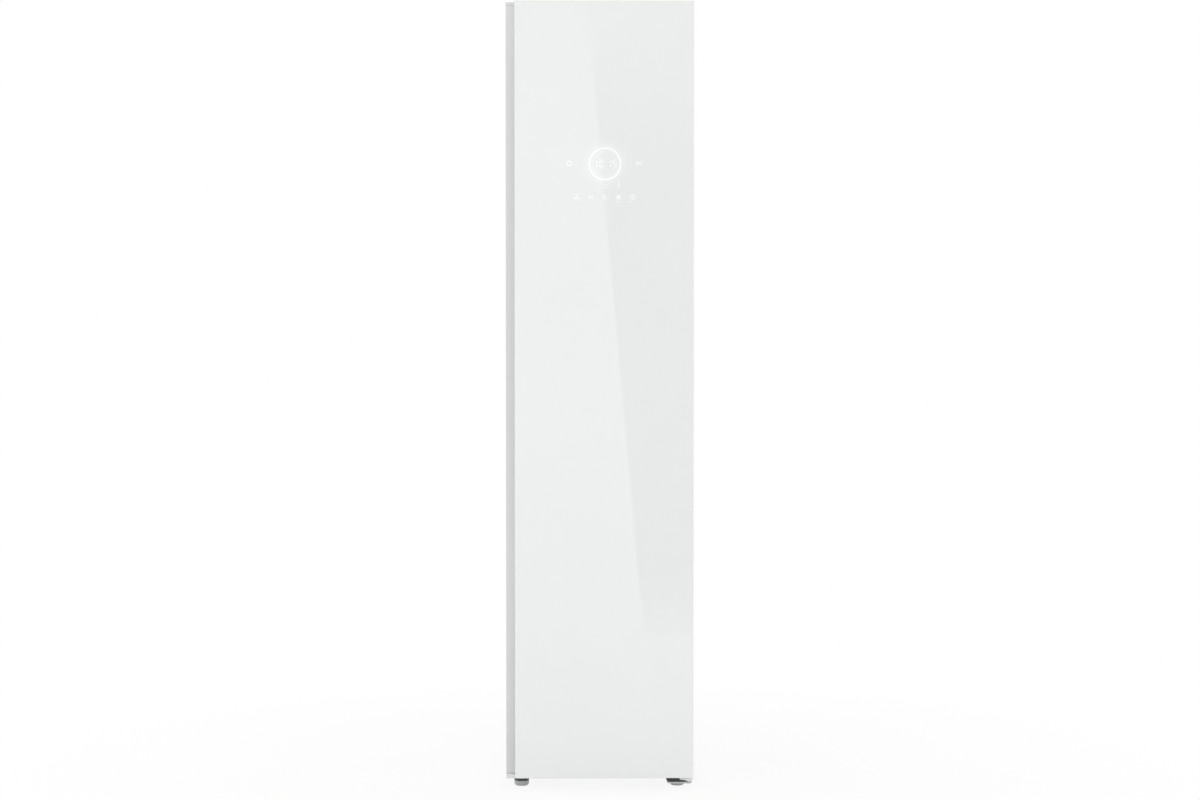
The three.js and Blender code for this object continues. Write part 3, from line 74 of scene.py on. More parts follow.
# Places on the object, mm
GLASS_FACE = -292.5
RING_X = 12.0
RING_Z = 1470.9
RING_RADIUS = 36.5
UNDER_DOOR = 31.6  # top of the trim that hangs under the door
HINGE_PIN = (208.5, -267.5)
FOOT_X, FOOT_Y = 185, -212.5
ROLLER_X, ROLLER_Y, ROLLER_Z = 150, 254.5, 16
BACK_FACE = 292.5
TANK_X, TANK_FACE = 92.475, -230.5
HOOK_FOOT = 1632  # where a hanger's steel hook leaves its plastic shoulders

# Degrees between two faces from which an edge counts as a corner
CHOSEN_CORNER, ANY_CORNER = 30, 50


# Materials

def new_look(name):
    """An empty material with its shader, and the place where patterns are read."""
    look = bpy.data.materials.new(name)
    look.use_nodes = True
    tree = look.node_tree
    shader = tree.nodes["Principled BSDF"]
    place = tree.nodes.new("ShaderNodeTexCoord").outputs["Object"]
    return look, tree, shader, place


def add_node(tree, kind, values=None, **settings):
    """A shader node with its settings and the fixed values of its sockets."""
    node = tree.nodes.new("ShaderNode" + kind)
    for name, value in settings.items():
        setattr(node, name, value)
    for name, value in (values or {}).items():
        node.inputs[name].default_value = value
    return node


def combined(tree, operation, first, second):
    """One value made from two, by a math node."""
    node = add_node(tree, "Math", operation=operation)
    tree.links.new(first, node.inputs[0])
    tree.links.new(second, node.inputs[1])
    return node.outputs[0]


def mixed(tree, share, first, second):
    """Two shaders mixed, with the second one's share."""
    node = add_node(tree, "MixShader")
    for value, socket in zip((share, first, second), node.inputs):
        tree.links.new(value, socket)
    return node.outputs[0]


def stretched(tree, place, scale):
    """Object coordinates, stretched so that a pattern runs along one direction."""
    turn = add_node(tree, "Mapping", {"Scale": scale})
    tree.links.new(place, turn.inputs["Vector"])
    return turn.outputs["Vector"]


def noise(tree, place, per_metre, detail=4.0):
    """A cloudy pattern's value."""
    grain = add_node(tree, "TexNoise", {"Scale": per_metre, "Detail": detail, "Roughness": 0.55})
    tree.links.new(place, grain.inputs["Vector"])
    return grain.outputs["Fac"]


def cells(tree, place, per_metre):
    """A pattern of cells, with their colours and the distance from their centres."""
    pattern = add_node(tree, "TexVoronoi", {"Scale": per_metre})
    tree.links.new(place, pattern.inputs["Vector"])
    return pattern.outputs


def between(tree, value, low, high, from_low=0.3, from_high=0.7):
    """Maps a pattern's value to a range."""
    span = add_node(tree, "MapRange", {"From Min": from_low, "From Max": from_high,
                                       "To Min": low, "To Max": high})
    tree.links.new(value, span.inputs["Value"])
    return span.outputs["Result"]


def two_tone(tree, value, dark, light, from_low=0.35, from_high=0.65):
    """A colour that drifts between two tones with a pattern."""
    ramp = tree.nodes.new("ShaderNodeValToRGB")
    stops = ramp.color_ramp.elements
    for stop, at, tone in ((stops[0], from_low, dark), (stops[1], from_high, light)):
        stop.position = at
        stop.color = (*tone, 1)
    tree.links.new(value, ramp.inputs["Fac"])
    return ramp.outputs["Color"]


def tones(colour, spread):
    """A darker and a lighter tone of a colour."""
    return ([max(0.0, c * (1 - spread)) for c in colour],
            [min(1.0, c * (1 + spread)) for c in colour])


def add_bump(tree, shader, value, strength, depth):
    """Fine relief from a pattern; its depth is in metres."""
    bump = add_node(tree, "Bump", {"Strength": strength, "Distance": depth})
    tree.links.new(value, bump.inputs["Height"])
    tree.links.new(bump.outputs["Normal"], shader.inputs["Normal"])


def surface(name, colour, rough, spread=0.02, drift=6.0, grain=900.0, bump=0.1, depth=0.0002,
            metal=0.0, stretch=(1, 1, 1), rough_spread=0.04):
    """A moulded, painted or cast finish: slow drift of tone, fine grain in the bump and gloss."""
    look, tree, shader, place = new_look(name)
    dark, light = tones(colour, spread)
    drifting = two_tone(tree, noise(tree, place, drift), dark, light)
    tree.links.new(drifting, shader.inputs["Base Color"])
    fine = noise(tree, stretched(tree, place, stretch), grain, 3.0)
    gloss = between(tree, fine, rough - rough_spread, rough + rough_spread)
    tree.links.new(gloss, shader.inputs["Roughness"])
    shader.inputs["Metallic"].default_value = metal
    add_bump(tree, shader, fine, bump, depth)
    return look


def zinc_finish(name, colour, rough):
    """Galvanised plate: flat crystals of slightly different tone and gloss."""
    look, tree, shader, place = new_look(name)
    grey = add_node(tree, "RGBToBW")
    tree.links.new(cells(tree, place, 110.0)["Color"], grey.inputs["Color"])
    crystal = grey.outputs["Val"]
    dark, light = tones(colour, 0.09)
    tree.links.new(two_tone(tree, crystal, dark, light, 0.1, 0.9), shader.inputs["Base Color"])
    gloss = between(tree, crystal, rough - 0.08, rough + 0.1, 0, 1)
    tree.links.new(gloss, shader.inputs["Roughness"])
    shader.inputs["Metallic"].default_value = 0.85
    add_bump(tree, shader, noise(tree, place, 350.0), 0.08, 0.0002)
    return look


def foam_finish(name, colour):
    """Poured foam: open cells of about a millimetre."""
    look, tree, shader, place = new_look(name)
    depth = cells(tree, place, 700.0)["Distance"]
    dark, light = tones(colour, 0.12)
    tree.links.new(two_tone(tree, depth, light, dark, 0.1, 0.8), shader.inputs["Base Color"])
    shader.inputs["Roughness"].default_value = 0.9
    add_bump(tree, shader, depth, 0.5, 0.0006)
    return look


def milky_finish(name, colour, rough):
    """Frosted clear plastic, as on the water tanks and the lamp's lens."""
    look, tree, shader, place = new_look(name)
    dark, light = tones(colour, 0.03)
    drifting = two_tone(tree, noise(tree, place, 9.0), dark, light)
    tree.links.new(drifting, shader.inputs["Base Color"])
    fine = noise(tree, place, 1400.0, 2.0)
    tree.links.new(between(tree, fine, rough - 0.05, rough + 0.06), shader.inputs["Roughness"])
    shader.inputs["Transmission Weight"].default_value = 0.35
    shader.inputs["IOR"].default_value = 1.46
    add_bump(tree, shader, fine, 0.06, 0.0001)
    return look


def glass_finish(name, colour):
    """Clear glass over a white coat, with a painted glow round the lit ring behind it: emission in
    the coat that stands in for the ring's light spreading through it.
    """
    look, tree, shader, place = new_look(name)
    dark, light = tones(colour, 0.006)
    drifting = two_tone(tree, noise(tree, place, 2.2), dark, light)
    tree.links.new(drifting, shader.inputs["Base Color"])
    gloss = between(tree, noise(tree, place, 30.0), 0.010, 0.014)
    tree.links.new(gloss, shader.inputs["Roughness"])
    shader.inputs["IOR"].default_value = 1.56
    away = add_node(tree, "VectorMath", operation="DISTANCE")
    away.inputs[1].default_value = (RING_X / MM, GLASS_FACE / MM, RING_Z / MM)
    tree.links.new(place, away.inputs[0])
    glow_ends = 0.1  # metres from the ring's centre, where the ramp's 1 is
    reach = between(tree, away.outputs["Value"], 0, 1, 0, glow_ends)
    # painted glow: the coat itself emits, brightest at the ring and fading inwards and outwards
    # from it
    glow = tree.nodes.new("ShaderNodeValToRGB")
    glow.color_ramp.interpolation = "B_SPLINE"
    levels = [(0.0, 0.30), (0.22, 0.42), (0.34, 0.75), (0.375, 1.0), (0.42, 0.62), (0.52, 0.2),
              (0.7, 0.0)]
    while len(glow.color_ramp.elements) < len(levels):
        glow.color_ramp.elements.new(0.5)
    for stop, (at, level) in zip(glow.color_ramp.elements, levels):
        stop.position = at
        stop.color = (level, level, level, 1)
    tree.links.new(reach, glow.inputs["Fac"])
    shader.inputs["Emission Color"].default_value = (0.95, 1.0, 0.99, 1)
    painted_glow_strength = between(tree, glow.outputs["Color"], 0, 0.055, 0, 1)
    tree.links.new(painted_glow_strength, shader.inputs["Emission Strength"])
    return look


def screen_finish(name, colour):
    """A fine woven screen: crossed threads in the bump and the tone."""
    look, tree, shader, place = new_look(name)
    threads = []
    for direction in ("X", "Z"):
        wave = add_node(tree, "TexWave", {"Scale": 260.0}, bands_direction=direction)
        tree.links.new(place, wave.inputs["Vector"])
        threads.append(wave.outputs["Fac"])
    height = combined(tree, "MULTIPLY", *threads)
    dark, light = tones(colour, 0.5)
    tree.links.new(two_tone(tree, height, light, dark, 0.05, 0.6), shader.inputs["Base Color"])
    shader.inputs["Roughness"].default_value = 0.5
    add_bump(tree, shader, height, 0.4, 0.0003)
    return look


def glow_finish(name, colour, strength):
    """A lit line of the display, a little uneven along its length."""
    look, tree, shader, place = new_look(name)
    shader.inputs["Base Color"].default_value = (0.9, 0.92, 0.91, 1)
    shader.inputs["Roughness"].default_value = 0.2
    shader.inputs["Emission Color"].default_value = (*colour, 1)
    uneven = between(tree, noise(tree, place, 120.0), strength * 0.85, strength * 1.1)
    tree.links.new(uneven, shader.inputs["Emission Strength"])
    return look


# In each surface: name, colour, roughness, spread of tone, drift and grain per metre, strength
# and depth of the bump, then how metallic it is and how its grain is stretched.
SLOT_LOOKS = {
    "white_glass": glass_finish("glass_over_white_coat", (0.815, 0.838, 0.830)),
    "grip_grey": surface("satin_anodised_grip", (0.785, 0.785, 0.785),
                         0.36, 0.012, 5.0, 800.0, 0.05, 0.0001, 0.75, (1, 1, 0.01)),
    "cap_grey": surface("moulded_cap_grey", (0.78, 0.78, 0.785),
                        0.48, 0.015, 9.0, 1500.0, 0.08, 0.0001),
    "white_sheet": surface("powder_coated_white", (0.80, 0.81, 0.81),
                           0.40, 0.012, 3.0, 650.0, 0.14, 0.00015),
    "white_plastic": surface("moulded_white", (0.82, 0.83, 0.825),
                             0.44, 0.012, 5.0, 1600.0, 0.10, 0.0001),
    "liner_white": surface("glossy_white_liner", (0.80, 0.815, 0.82),
                           0.30, 0.015, 4.0, 130.0, 0.012, 0.0001, rough_spread=0.015),
    "insulation_foam": foam_finish("poured_foam", (0.80, 0.74, 0.50)),
    "seal_grey": surface("soft_seal_grey", (0.56, 0.57, 0.58),
                         0.68, 0.03, 12.0, 1900.0, 0.15, 0.0001),
    "zinc_plate": zinc_finish("galvanised_plate", (0.60, 0.62, 0.63), 0.36),
    "bright_steel": surface("bright_steel", (0.68, 0.69, 0.70),
                            0.2, 0.03, 20.0, 900.0, 0.05, 0.0001, 1.0, (1, 1, 0.04)),
    "black_plastic": surface("grained_black", (0.034, 0.034, 0.036),
                             0.40, 0.15, 15.0, 1300.0, 0.25, 0.00015),
    "dark_steel": surface("painted_dark_steel", (0.030, 0.030, 0.034),
                          0.38, 0.12, 12.0, 500.0, 0.15, 0.0002),
    "cast_aluminium": surface("cast_aluminium", (0.55, 0.57, 0.58),
                              0.46, 0.05, 25.0, 700.0, 0.35, 0.0003, 0.85),
    "rail_metal": surface("brushed_rail", (0.70, 0.71, 0.72),
                          0.26, 0.02, 10.0, 1200.0, 0.08, 0.0001, 1.0, (0.02, 1, 1)),
    "hanger_plastic": surface("moulded_dark_grey", (0.20, 0.21, 0.22),
                              0.42, 0.03, 12.0, 1500.0, 0.15, 0.0001),
    "grey_plastic": surface("moulded_mid_grey", (0.32, 0.34, 0.36),
                            0.45, 0.02, 8.0, 1500.0, 0.14, 0.0001),
    "foot_grey": surface("foot_grey", (0.51, 0.51, 0.52),
                         0.24, 0.05, 30.0, 900.0, 0.10, 0.0001, 0.4),
    "board_green": surface("board_green", (0.02, 0.12, 0.06),
                           0.3, 0.1, 90.0, 500.0, 0.05, 0.0001),
    "milk_plastic": milky_finish("frosted_tank", (0.80, 0.84, 0.86), 0.28),
    "roller_rubber": surface("roller_rubber", (0.10, 0.10, 0.11),
                             0.78, 0.08, 40.0, 1500.0, 0.2, 0.0002),
}
glass_edge = surface("ground_glass_edge", (0.76, 0.81, 0.79),
                     0.22, 0.05, 40.0, 500.0, 0.05, 0.0001)
foot_black = surface("moulded_foot_black", (0.075, 0.075, 0.078),
                     0.34, 0.1, 30.0, 900.0, 0.15, 0.0001)
filter_screen = screen_finish("woven_screen", (0.12, 0.125, 0.13))
lit_white = glow_finish("display_light", (0.96, 1.0, 0.99), 0.11)
lit_blue = glow_finish("display_light_cool", (0.88, 0.9, 1.0), 0.2)


# Making pieces

def put(name, bm, body, slot, looks=None, stands_for=(), crease=38):
    """Turns a mesh drawn in millimetres into a piece that moves with its body."""
    bm.transform(TO_METRES)
    mesh = bpy.data.meshes.new(name)
    bm.to_mesh(mesh)
    bm.free()
    for look in looks or [SLOT_LOOKS[slot]]:
        mesh.materials.append(look)
    mesh.shade_smooth()
    mesh.set_sharp_from_angle(angle=math.radians(crease))
    piece = bpy.data.objects.new(name, mesh)
    scene.collection.objects.link(piece)
    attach(piece, body)
    if stands_for:
        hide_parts(*stands_for)
    return piece


def even_shading(piece):
    """Keeps the large flats flat beside their rounded edges."""
    even = piece.modifiers.new("even_shading", "WEIGHTED_NORMAL")
    even.keep_sharp = True
    return piece


def in_mm(box):
    """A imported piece's lowest and highest corners, from metres to millimetres."""
    lo, hi = box
    return lo * MM, hi * MM


def edges_over(bm, degrees):
    """The edges where two faces turn by more than an angle."""
    limit = math.radians(degrees)
    return [e for e in bm.edges if len(e.link_faces) == 2 and e.calc_face_angle(0) > limit]


def middle(e):
    return (e.verts[0].co + e.verts[1].co) / 2


def upright(e):
    along = (e.verts[0].co - e.verts[1].co).normalized()
    return abs(along.z) > 0.99


def bevel(bm, edges, radius, segments):
    return bmesh.ops.bevel(bm, geom=edges, offset=radius, offset_type="OFFSET",
                           segments=segments, profile=0.5, affect="EDGES", material=-1,
                           clamp_overlap=True)


def round_edges(bm, edges, radius, segments=2):
    """Rounds these edges, where there are any."""
    if edges:
        bevel(bm, edges, radius, segments)


def refined(node, slot, width, segments=2, rounds=(), looks=None):
    """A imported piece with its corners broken: chosen ones by a radius, the rest by a width.

    rounds holds a radius, its segments, and a test of an edge's middle and the edge.
    """
    bm = bmesh.new()
    bm.from_mesh(frame["nodes"][node].data)
    bm.transform(TO_MM)
    bmesh.ops.remove_doubles(bm, verts=bm.verts, dist=0.001)
    bmesh.ops.dissolve_limit(bm, angle_limit=math.radians(0.4), verts=bm.verts, edges=bm.edges)
    for radius, steps, chosen in rounds:
        corners = [e for e in edges_over(bm, CHOSEN_CORNER) if chosen(middle(e), e)]
        round_edges(bm, corners, radius, steps)
    rest = [e for e in edges_over(bm, ANY_CORNER)
            if not any(chosen(middle(e), e) for _, _, chosen in rounds)]
    round_edges(bm, rest, width, segments)
    body = frame["nodes"][node]["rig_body"]
    return even_shading(put("fine_" + node, bm, body, slot, looks, (node,)))


def add_block(bm, lo, hi, radius=0.0, segments=2):
    """A block between two corners, with its edges rounded."""
    lo, hi = Vector(lo), Vector(hi)
    made = bmesh.ops.create_cube(bm, size=1)["verts"]
    bmesh.ops.scale(bm, vec=hi - lo, verts=made)
    bmesh.ops.translate(bm, vec=(lo + hi) / 2, verts=made)
    if radius:
        round_edges(bm, list({e for v in made for e in v.link_edges}), radius, segments)
    return made


def blocks(corners, radius=0.0, segments=2):
    """Blocks in one mesh, each between two corners."""
    bm = bmesh.new()
    for lo, hi in corners:
        add_block(bm, lo, hi, radius, segments)
    return bm


TURNS = {
    "Z": Matrix(),
    "X": Matrix.Rotation(math.pi / 2, 4, "Y"),
    "Y": Matrix.Rotation(-math.pi / 2, 4, "X"),
    "-Y": Matrix.Rotation(math.pi / 2, 4, "X"),
}


def add_turned(bm, profile, centre, steps, axis="Z", closed=False):
    """A shape turned on a lathe: profile holds (radius, height) pairs along its axis."""
    lathe = bmesh.new()
    line = [lathe.verts.new((r, 0, h)) for r, h in profile]
    for pair in zip(line, line[1:] + (line[:1] if closed else [])):
        lathe.edges.new(pair)
    bmesh.ops.spin(lathe, geom=lathe.verts[:] + lathe.edges[:], cent=(0, 0, 0), axis=(0, 0, 1),
                   angle=2 * math.pi, steps=steps, use_merge=True, use_duplicate=False)
    bmesh.ops.remove_doubles(lathe, verts=lathe.verts, dist=0.0005)
    bmesh.ops.transform(lathe, matrix=Matrix.Translation(centre) @ TURNS[axis],
                        verts=lathe.verts)
    bmesh.ops.recalc_face_normals(lathe, faces=lathe.faces)
    pour(bm, lathe)


def pour(bm, other):
    """Moves another mesh's shape into this one."""
    spare = bpy.data.meshes.new("spare")
    other.to_mesh(spare)
    other.free()
    bm.from_mesh(spare)
    bpy.data.meshes.remove(spare)


def turned(profile, centre, steps, axis="Z", closed=False):
    bm = bmesh.new()
    add_turned(bm, profile, centre, steps, axis, closed)
    return bm


def prism(outline, front, back, radius):
    """A shape drawn from the front, (x, z) by (x, z), and as deep as from front to back."""
    bm = bmesh.new()
    face = bm.faces.new([bm.verts.new((x, front, z)) for x, z in outline])
    made = bmesh.ops.extrude_face_region(bm, geom=[face])["geom"]
    moved = [v for v in made if isinstance(v, bmesh.types.BMVert)]
    bmesh.ops.translate(bm, vec=(0, back - front, 0), verts=moved)
    bmesh.ops.recalc_face_normals(bm, faces=bm.faces)
    round_edges(bm, bm.edges[:], radius, 3)
    return bm


def put_screws(name, places, axis, radius):
    """Low screw heads with round sockets, all looking one way."""
    r = radius
    head = [(0, -0.3), (0.34 * r, -0.3), (0.38 * r, 0.45), (0.72 * r, 0.42), (0.93 * r, 0.2),
            (r, 0.0), (r, -0.6), (0, -0.6)]
    bm = bmesh.new()
    for place in places:
        add_turned(bm, head, place, 20, axis)
    put(name, bm, "cabinet", "bright_steel")


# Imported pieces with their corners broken

def refine_shell():
    """The cabinet's sheets, its top cover and the hinges' plates."""
    fold = (2.6, 4, lambda m, e: upright(e) and abs(m.x) > 218 and m.y < -234)
    for side in ("left", "right"):
        refined(side + "_side_panel", "white_sheet", 0.25, 2, [fold])
    refined("top_cover", "white_plastic", 0.4, 2, [
        (5.0, 5, lambda m, e: upright(e) and abs(m.x) > 218.3 and abs(m.y) > 234),
        (1.8, 3, lambda m, e: m.z > 1829.9 and (abs(m.x) > 212 or m.y > 286 or m.y < -229))])
    refined("header_panel", "white_sheet", 0.3)
    refined("base_pan", "zinc_plate", 0.2)
    refined("rear_service_cover", "zinc_plate", 0.2)
    refined("upper_hinge_bracket", "zinc_plate", 0.4)
    refined("lower_hinge_bracket", "zinc_plate", 0.4, 2, [
        (10.0, 6, lambda m, e: upright(e) and m.x < 160 and m.y < -240),
        (6.0, 6, lambda m, e: upright(e) and m.x > 216 and m.y < -240)])
    refined("upper_hinge_cover", "white_plastic", 0.3, 2, [(1.2, 3, lambda m, e: m.z > 1847.9)])


def refine_door():
    """The door's frame, inner panel, grip, caps and clamp."""
    def plug(m, e):
        return abs(m.y + 214.5) < 0.05 or (upright(e) and -246 < m.y < -215 and abs(m.x) > 170)

    refined("door_frame_right", "white_sheet", 0.3, 2, [
        (1.1, 3, lambda m, e: upright(e) and m.x > 218.4)])
    refined("door_liner", "liner_white", 0.6, 2, [
        (9.0, 6, plug),
        (1.8, 3, lambda m, e: upright(e) and m.y > -247 and abs(m.x) > 218)])
    refined("grip_profile", "grip_grey", 0.15)
    refined("grip_cap_bottom", "cap_grey", 0.12)
    refined("grip_cap_top", "grip_grey", 0.12)
    for end in ("bottom", "top"):
        refined("door_cap_" + end, "white_plastic", 0.35)
    refined("clamp_jaw", "grey_plastic", 0.6)


def refine_inside():
    """The chamber's walls, the shelf, the tanks, the filter, the hangers and their rail."""
    refined("shelf", "grey_plastic", 0.9, 3)
    refined("chamber_floor", "liner_white", 0.5)
    refined("chamber_ceiling", "liner_white", 0.4)
    refined("liner_left", "liner_white", 0.8, 3)
    refined("liner_right", "liner_white", 0.8, 3)
    refined("ceiling_lamp_lens", "milk_plastic", 0.8)
    refined("tank_bay", "liner_white", 0.5)
    for tank in ("drain_tank", "supply_tank"):
        lo, hi = in_mm(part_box(tank))

        def at_corner(m, e):
            return (upright(e) and min(m.x - lo.x, hi.x - m.x) < 0.5
                    and min(m.y - lo.y, hi.y - m.y) < 0.5)

        refined(tank, "milk_plastic", 0.6, 2, [(7.0, 5, at_corner)])
        refined(tank + "_lid", "grey_plastic", 0.5, 2, [
            (7.0, 5, at_corner), (1.6, 3, lambda m, e: m.z > 283.3)])
    refined("lint_filter", "grey_plastic", 0.4)
    for number in "123":
        hanger = refined("hanger_" + number, "hanger_plastic", 2.4, 3,
                         looks=[SLOT_LOOKS["hanger_plastic"], SLOT_LOOKS["bright_steel"]])
        for face in hanger.data.polygons:
            face.material_index = 1 if face.center.z > HOOK_FOOT / MM else 0
    refined("hanger_rail", "rail_metal", 0.4)
    refined("steam_pipe", "bright_steel", 0.6)


def refine_works():
    """The machines under the chamber and above it."""
    refined("control_box", "black_plastic", 1.2, 3)
    for node, slot, width in (
            ("shaker_frame", "zinc_plate", 0.3), ("shaker_motor", "dark_steel", 0.6),
            ("crank", "cast_aluminium", 0.5), ("steam_generator", "cast_aluminium", 1.0),
            ("feed_pump", "grey_plastic", 0.7), ("fan_motor", "dark_steel", 0.6),
            ("fan_impeller", "black_plastic", 0.4), ("compressor", "dark_steel", 0.6),
            ("duct_tray", "grey_plastic", 0.4), ("power_inlet", "black_plastic", 0.4)):
        refined(node, slot, width)


# Door glass and display

LIT_DEPTH = 0.12  # thickness of the display's light on the glass
LIT_BACK = GLASS_FACE + 0.02  # the light's back, just inside the glass


def make_glass():
    """The door's glass: ground edges, a polished face."""
    bm = blocks([in_mm(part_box("door_glass"))])
    round_edges(bm, bm.edges[:], 0.9, 3)
    for face in bm.faces:
        face.material_index = 0 if abs(face.normal.y) > 0.95 else 1
    even_shading(put("polished_glass", bm, "door", "white_glass",
                     [SLOT_LOOKS["white_glass"], glass_edge], ("door_glass",)))


def add_bar(bm, x0, z0, x1, z1, width, round_ends=True):
    """A lit stroke between two points of the glass, as wide as given."""
    along = Vector((x1 - x0, 0, z1 - z0))
    length = along.length + (width if round_ends else 0)
    made = bmesh.ops.create_cube(bm, size=1)["verts"]
    bmesh.ops.scale(bm, vec=(length, LIT_DEPTH, width), verts=made)
    if round_ends:
        corners = [e for e in {e for v in made for e in v.link_edges}
                   if abs((e.verts[0].co - e.verts[1].co).normalized().y) > 0.9]
        cut = bevel(bm, corners, width * 0.42, 3)
        made = list({v for v in made if v.is_valid} | set(cut["verts"]))
    turn = Matrix.Rotation(-math.atan2(along.z, along.x), 4, "Y")
    centre = Vector(((x0 + x1) / 2, LIT_BACK - LIT_DEPTH / 2, (z0 + z1) / 2))
    bmesh.ops.transform(bm, matrix=Matrix.Translation(centre) @ turn, verts=made)


def add_arc(bm, x, z, radius, width, start, end, steps):
    """A lit arc round a point of the glass; degrees run from +X towards +Z.

    steps is for a whole turn, and an arc has its share of them.
    """
    ring = bmesh.new()
    half = width / 2
    corners = [(radius - half, 0), (radius + half, 0),
               (radius + half, LIT_DEPTH), (radius - half, LIT_DEPTH)]
    line = [ring.verts.new((r, -y, 0)) for r, y in corners]
    for pair in zip(line, line[1:] + line[:1]):
        ring.edges.new(pair)
    whole = end - start >= 360
    bmesh.ops.spin(ring, geom=ring.verts[:] + ring.edges[:], cent=(0, 0, 0), axis=(0, -1, 0),
                   angle=math.radians(end - start),
                   steps=max(6, round(steps * (end - start) / 360)),
                   use_merge=whole, use_duplicate=False)
    bmesh.ops.remove_doubles(ring, verts=ring.verts, dist=0.001)
    if not whole:
        open_ends = [e for e in ring.edges if e.is_boundary]
        bmesh.ops.holes_fill(ring, edges=open_ends, sides=4)
    turn = Matrix.Rotation(math.radians(start), 4, Vector((0, -1, 0)))
    bmesh.ops.transform(ring, matrix=Matrix.Translation((x, LIT_BACK, z)) @ turn,
                        verts=ring.verts)
    bmesh.ops.recalc_face_normals(ring, faces=ring.faces)
    pour(bm, ring)


SEGMENTS = {"0": "abcdef", "1": "bc", "5": "acdfg"}


def add_digit(bm, digit, x, z, width, height, stroke):
    """One seven-segment figure, from its lower left corner."""
    ends = {"a": (0, 2, 1, 2), "b": (1, 2, 1, 1), "c": (1, 1, 1, 0), "d": (0, 0, 1, 0),
            "e": (0, 1, 0, 0), "f": (0, 2, 0, 1), "g": (0, 1, 1, 1)}
    gap = stroke * 0.75
    for name in SEGMENTS[digit]:
        x0, z0, x1, z1 = ends[name]
        across, down = (gap, 0) if z0 == z1 else (0, gap)
        add_bar(bm, x + x0 * width + across, z + z0 * height / 2 - down,
                x + x1 * width - across, z + z1 * height / 2 + down, stroke, False)


def make_display():
    """Light seen through the glass: a ring round two numbers, two touch marks beside it
    and five below.
    """
    ring = bmesh.new()
    add_arc(ring, RING_X, RING_Z, RING_RADIUS, 3.0, 0, 360, 96)
    put("display_ring", ring, "door", "white_glass", [lit_white])
    numbers = bmesh.new()
    for digit, x in (("1", -25.7), ("0", -11.6), ("1", 6.3), ("5", 18.8)):
        add_digit(numbers, digit, RING_X + x, RING_Z - 7.6, width=6.9, height=16.8, stroke=2.3)
    put("display_numbers", numbers, "door", "white_glass", [lit_white])

    marks = bmesh.new()
    # on the left of the ring, a power mark
    x, z = RING_X - 83.1, RING_Z + 1.6
    add_arc(marks, x, z, 5.3, 1.7, 120, 420, 40)
    add_bar(marks, x, z + 2.0, x, z + 7.0, 1.7)
    # on the right, a start mark
    x = RING_X + 79.6
    add_bar(marks, x - 4.8, z + 4.8, x - 4.8, z - 4.8, 1.5)
    add_bar(marks, x - 4.8, z + 4.8, x + 1.4, z, 1.5)
    add_bar(marks, x - 4.8, z - 4.8, x + 1.4, z, 1.5)
    add_bar(marks, x + 4.8, z + 4.8, x + 4.8, z - 4.8, 1.5)
    # the row below: a hanger, waves, a drop, a star and a clock
    row_z = RING_Z - 77.4
    hanger_x, wave_x, drop_x, star_x, clock_x = (11.1 + 32.8 * i for i in (-2, -1, 0, 1, 2))
    x = hanger_x
    add_arc(marks, x, row_z + 4.2, 2.0, 1.3, -60, 180, 30)
    add_bar(marks, x, row_z + 1.6, x - 6.5, row_z - 3.5, 1.3)
    add_bar(marks, x, row_z + 1.6, x + 6.5, row_z - 3.5, 1.3)
    add_bar(marks, x - 6.5, row_z - 3.5, x + 6.5, row_z - 3.5, 1.3)
    x = wave_x
    for step in (-4.5, 0, 4.5):
        add_arc(marks, x + step - 1.6, row_z + 1.9, 1.9, 1.2, -75, 75, 30)
        add_arc(marks, x + step + 1.2, row_z - 1.9, 1.9, 1.2, 105, 255, 30)
    x = drop_x
    add_arc(marks, x, row_z - 1.5, 3.8, 1.3, 150, 390, 40)
    add_bar(marks, x - 3.3, row_z + 0.4, x, row_z + 6.0, 1.3)
    add_bar(marks, x + 3.3, row_z + 0.4, x, row_z + 6.0, 1.3)
    x = clock_x
    add_arc(marks, x, row_z, 5.4, 1.3, 0, 360, 40)
    add_bar(marks, x, row_z, x, row_z + 3.2, 1.2)
    add_bar(marks, x + 0.2, row_z, x + 2.4, row_z, 1.2)
    # lines under two of them, and the dashes and the bar under the ring
    for x in (star_x - 2.0, clock_x - 5.5):
        add_bar(marks, x - 3.6, row_z - 11.0, x + 3.6, row_z - 11.0, 1.1)
    for z in (RING_Z - 48.6, RING_Z - 55.2):
        add_bar(marks, RING_X - 1.4, z, RING_X + 4.6, z, 1.2)
    add_bar(marks, star_x, RING_Z - 40.8, star_x, RING_Z - 54.6, 1.6)
    put("display_marks", marks, "door", "white_glass", [lit_white])

    star = bmesh.new()
    x = star_x
    for turn in (0, 60, 120):
        dx = 6.0 * math.cos(math.radians(turn + 90))
        dz = 6.0 * math.sin(math.radians(turn + 90))
        add_bar(star, x - dx, row_z - dz, x + dx, row_z + dz, 1.3)
    put("display_mark_cool", star, "door", "white_glass", [lit_blue])


# Feet, rollers and hinges

def make_feet():
    """Two screw feet: a grey pad on a stem, and the black holder that it screws into."""
    pad = [(0, 0), (12.2, 0), (14.0, 0.5), (15.7, 1.8), (16.9, 4.0), (17.5, 7.0), (17.6, 10.0),
           (17.5, 12.2), (17.0, 12.7), (6, 12.7), (6, 30.8), (5.2, 31.4), (0, 31.4)]
    collar = [(6.4, 13.0), (17.0, 13.0), (17.5, 13.5), (17.4, 15.4), (16.9, 17.2), (15.9, 18.7),
              (14.6, 19.6), (13.8, 20.4), (13.8, 31.2), (13.3, 31.7), (6.4, 31.7)]
    for side, x in (("left", -FOOT_X), ("right", FOOT_X)):
        centre = (x, FOOT_Y, 0)
        put("turned_foot_" + side, turned(pad, centre, 64), "foot_" + side, "foot_grey",
            stands_for=("foot_" + side,))
        put("turned_holder_" + side, turned(collar, centre, 64, closed=True), "cabinet",
            "black_plastic", [foot_black], ("foot_holder_" + side,))


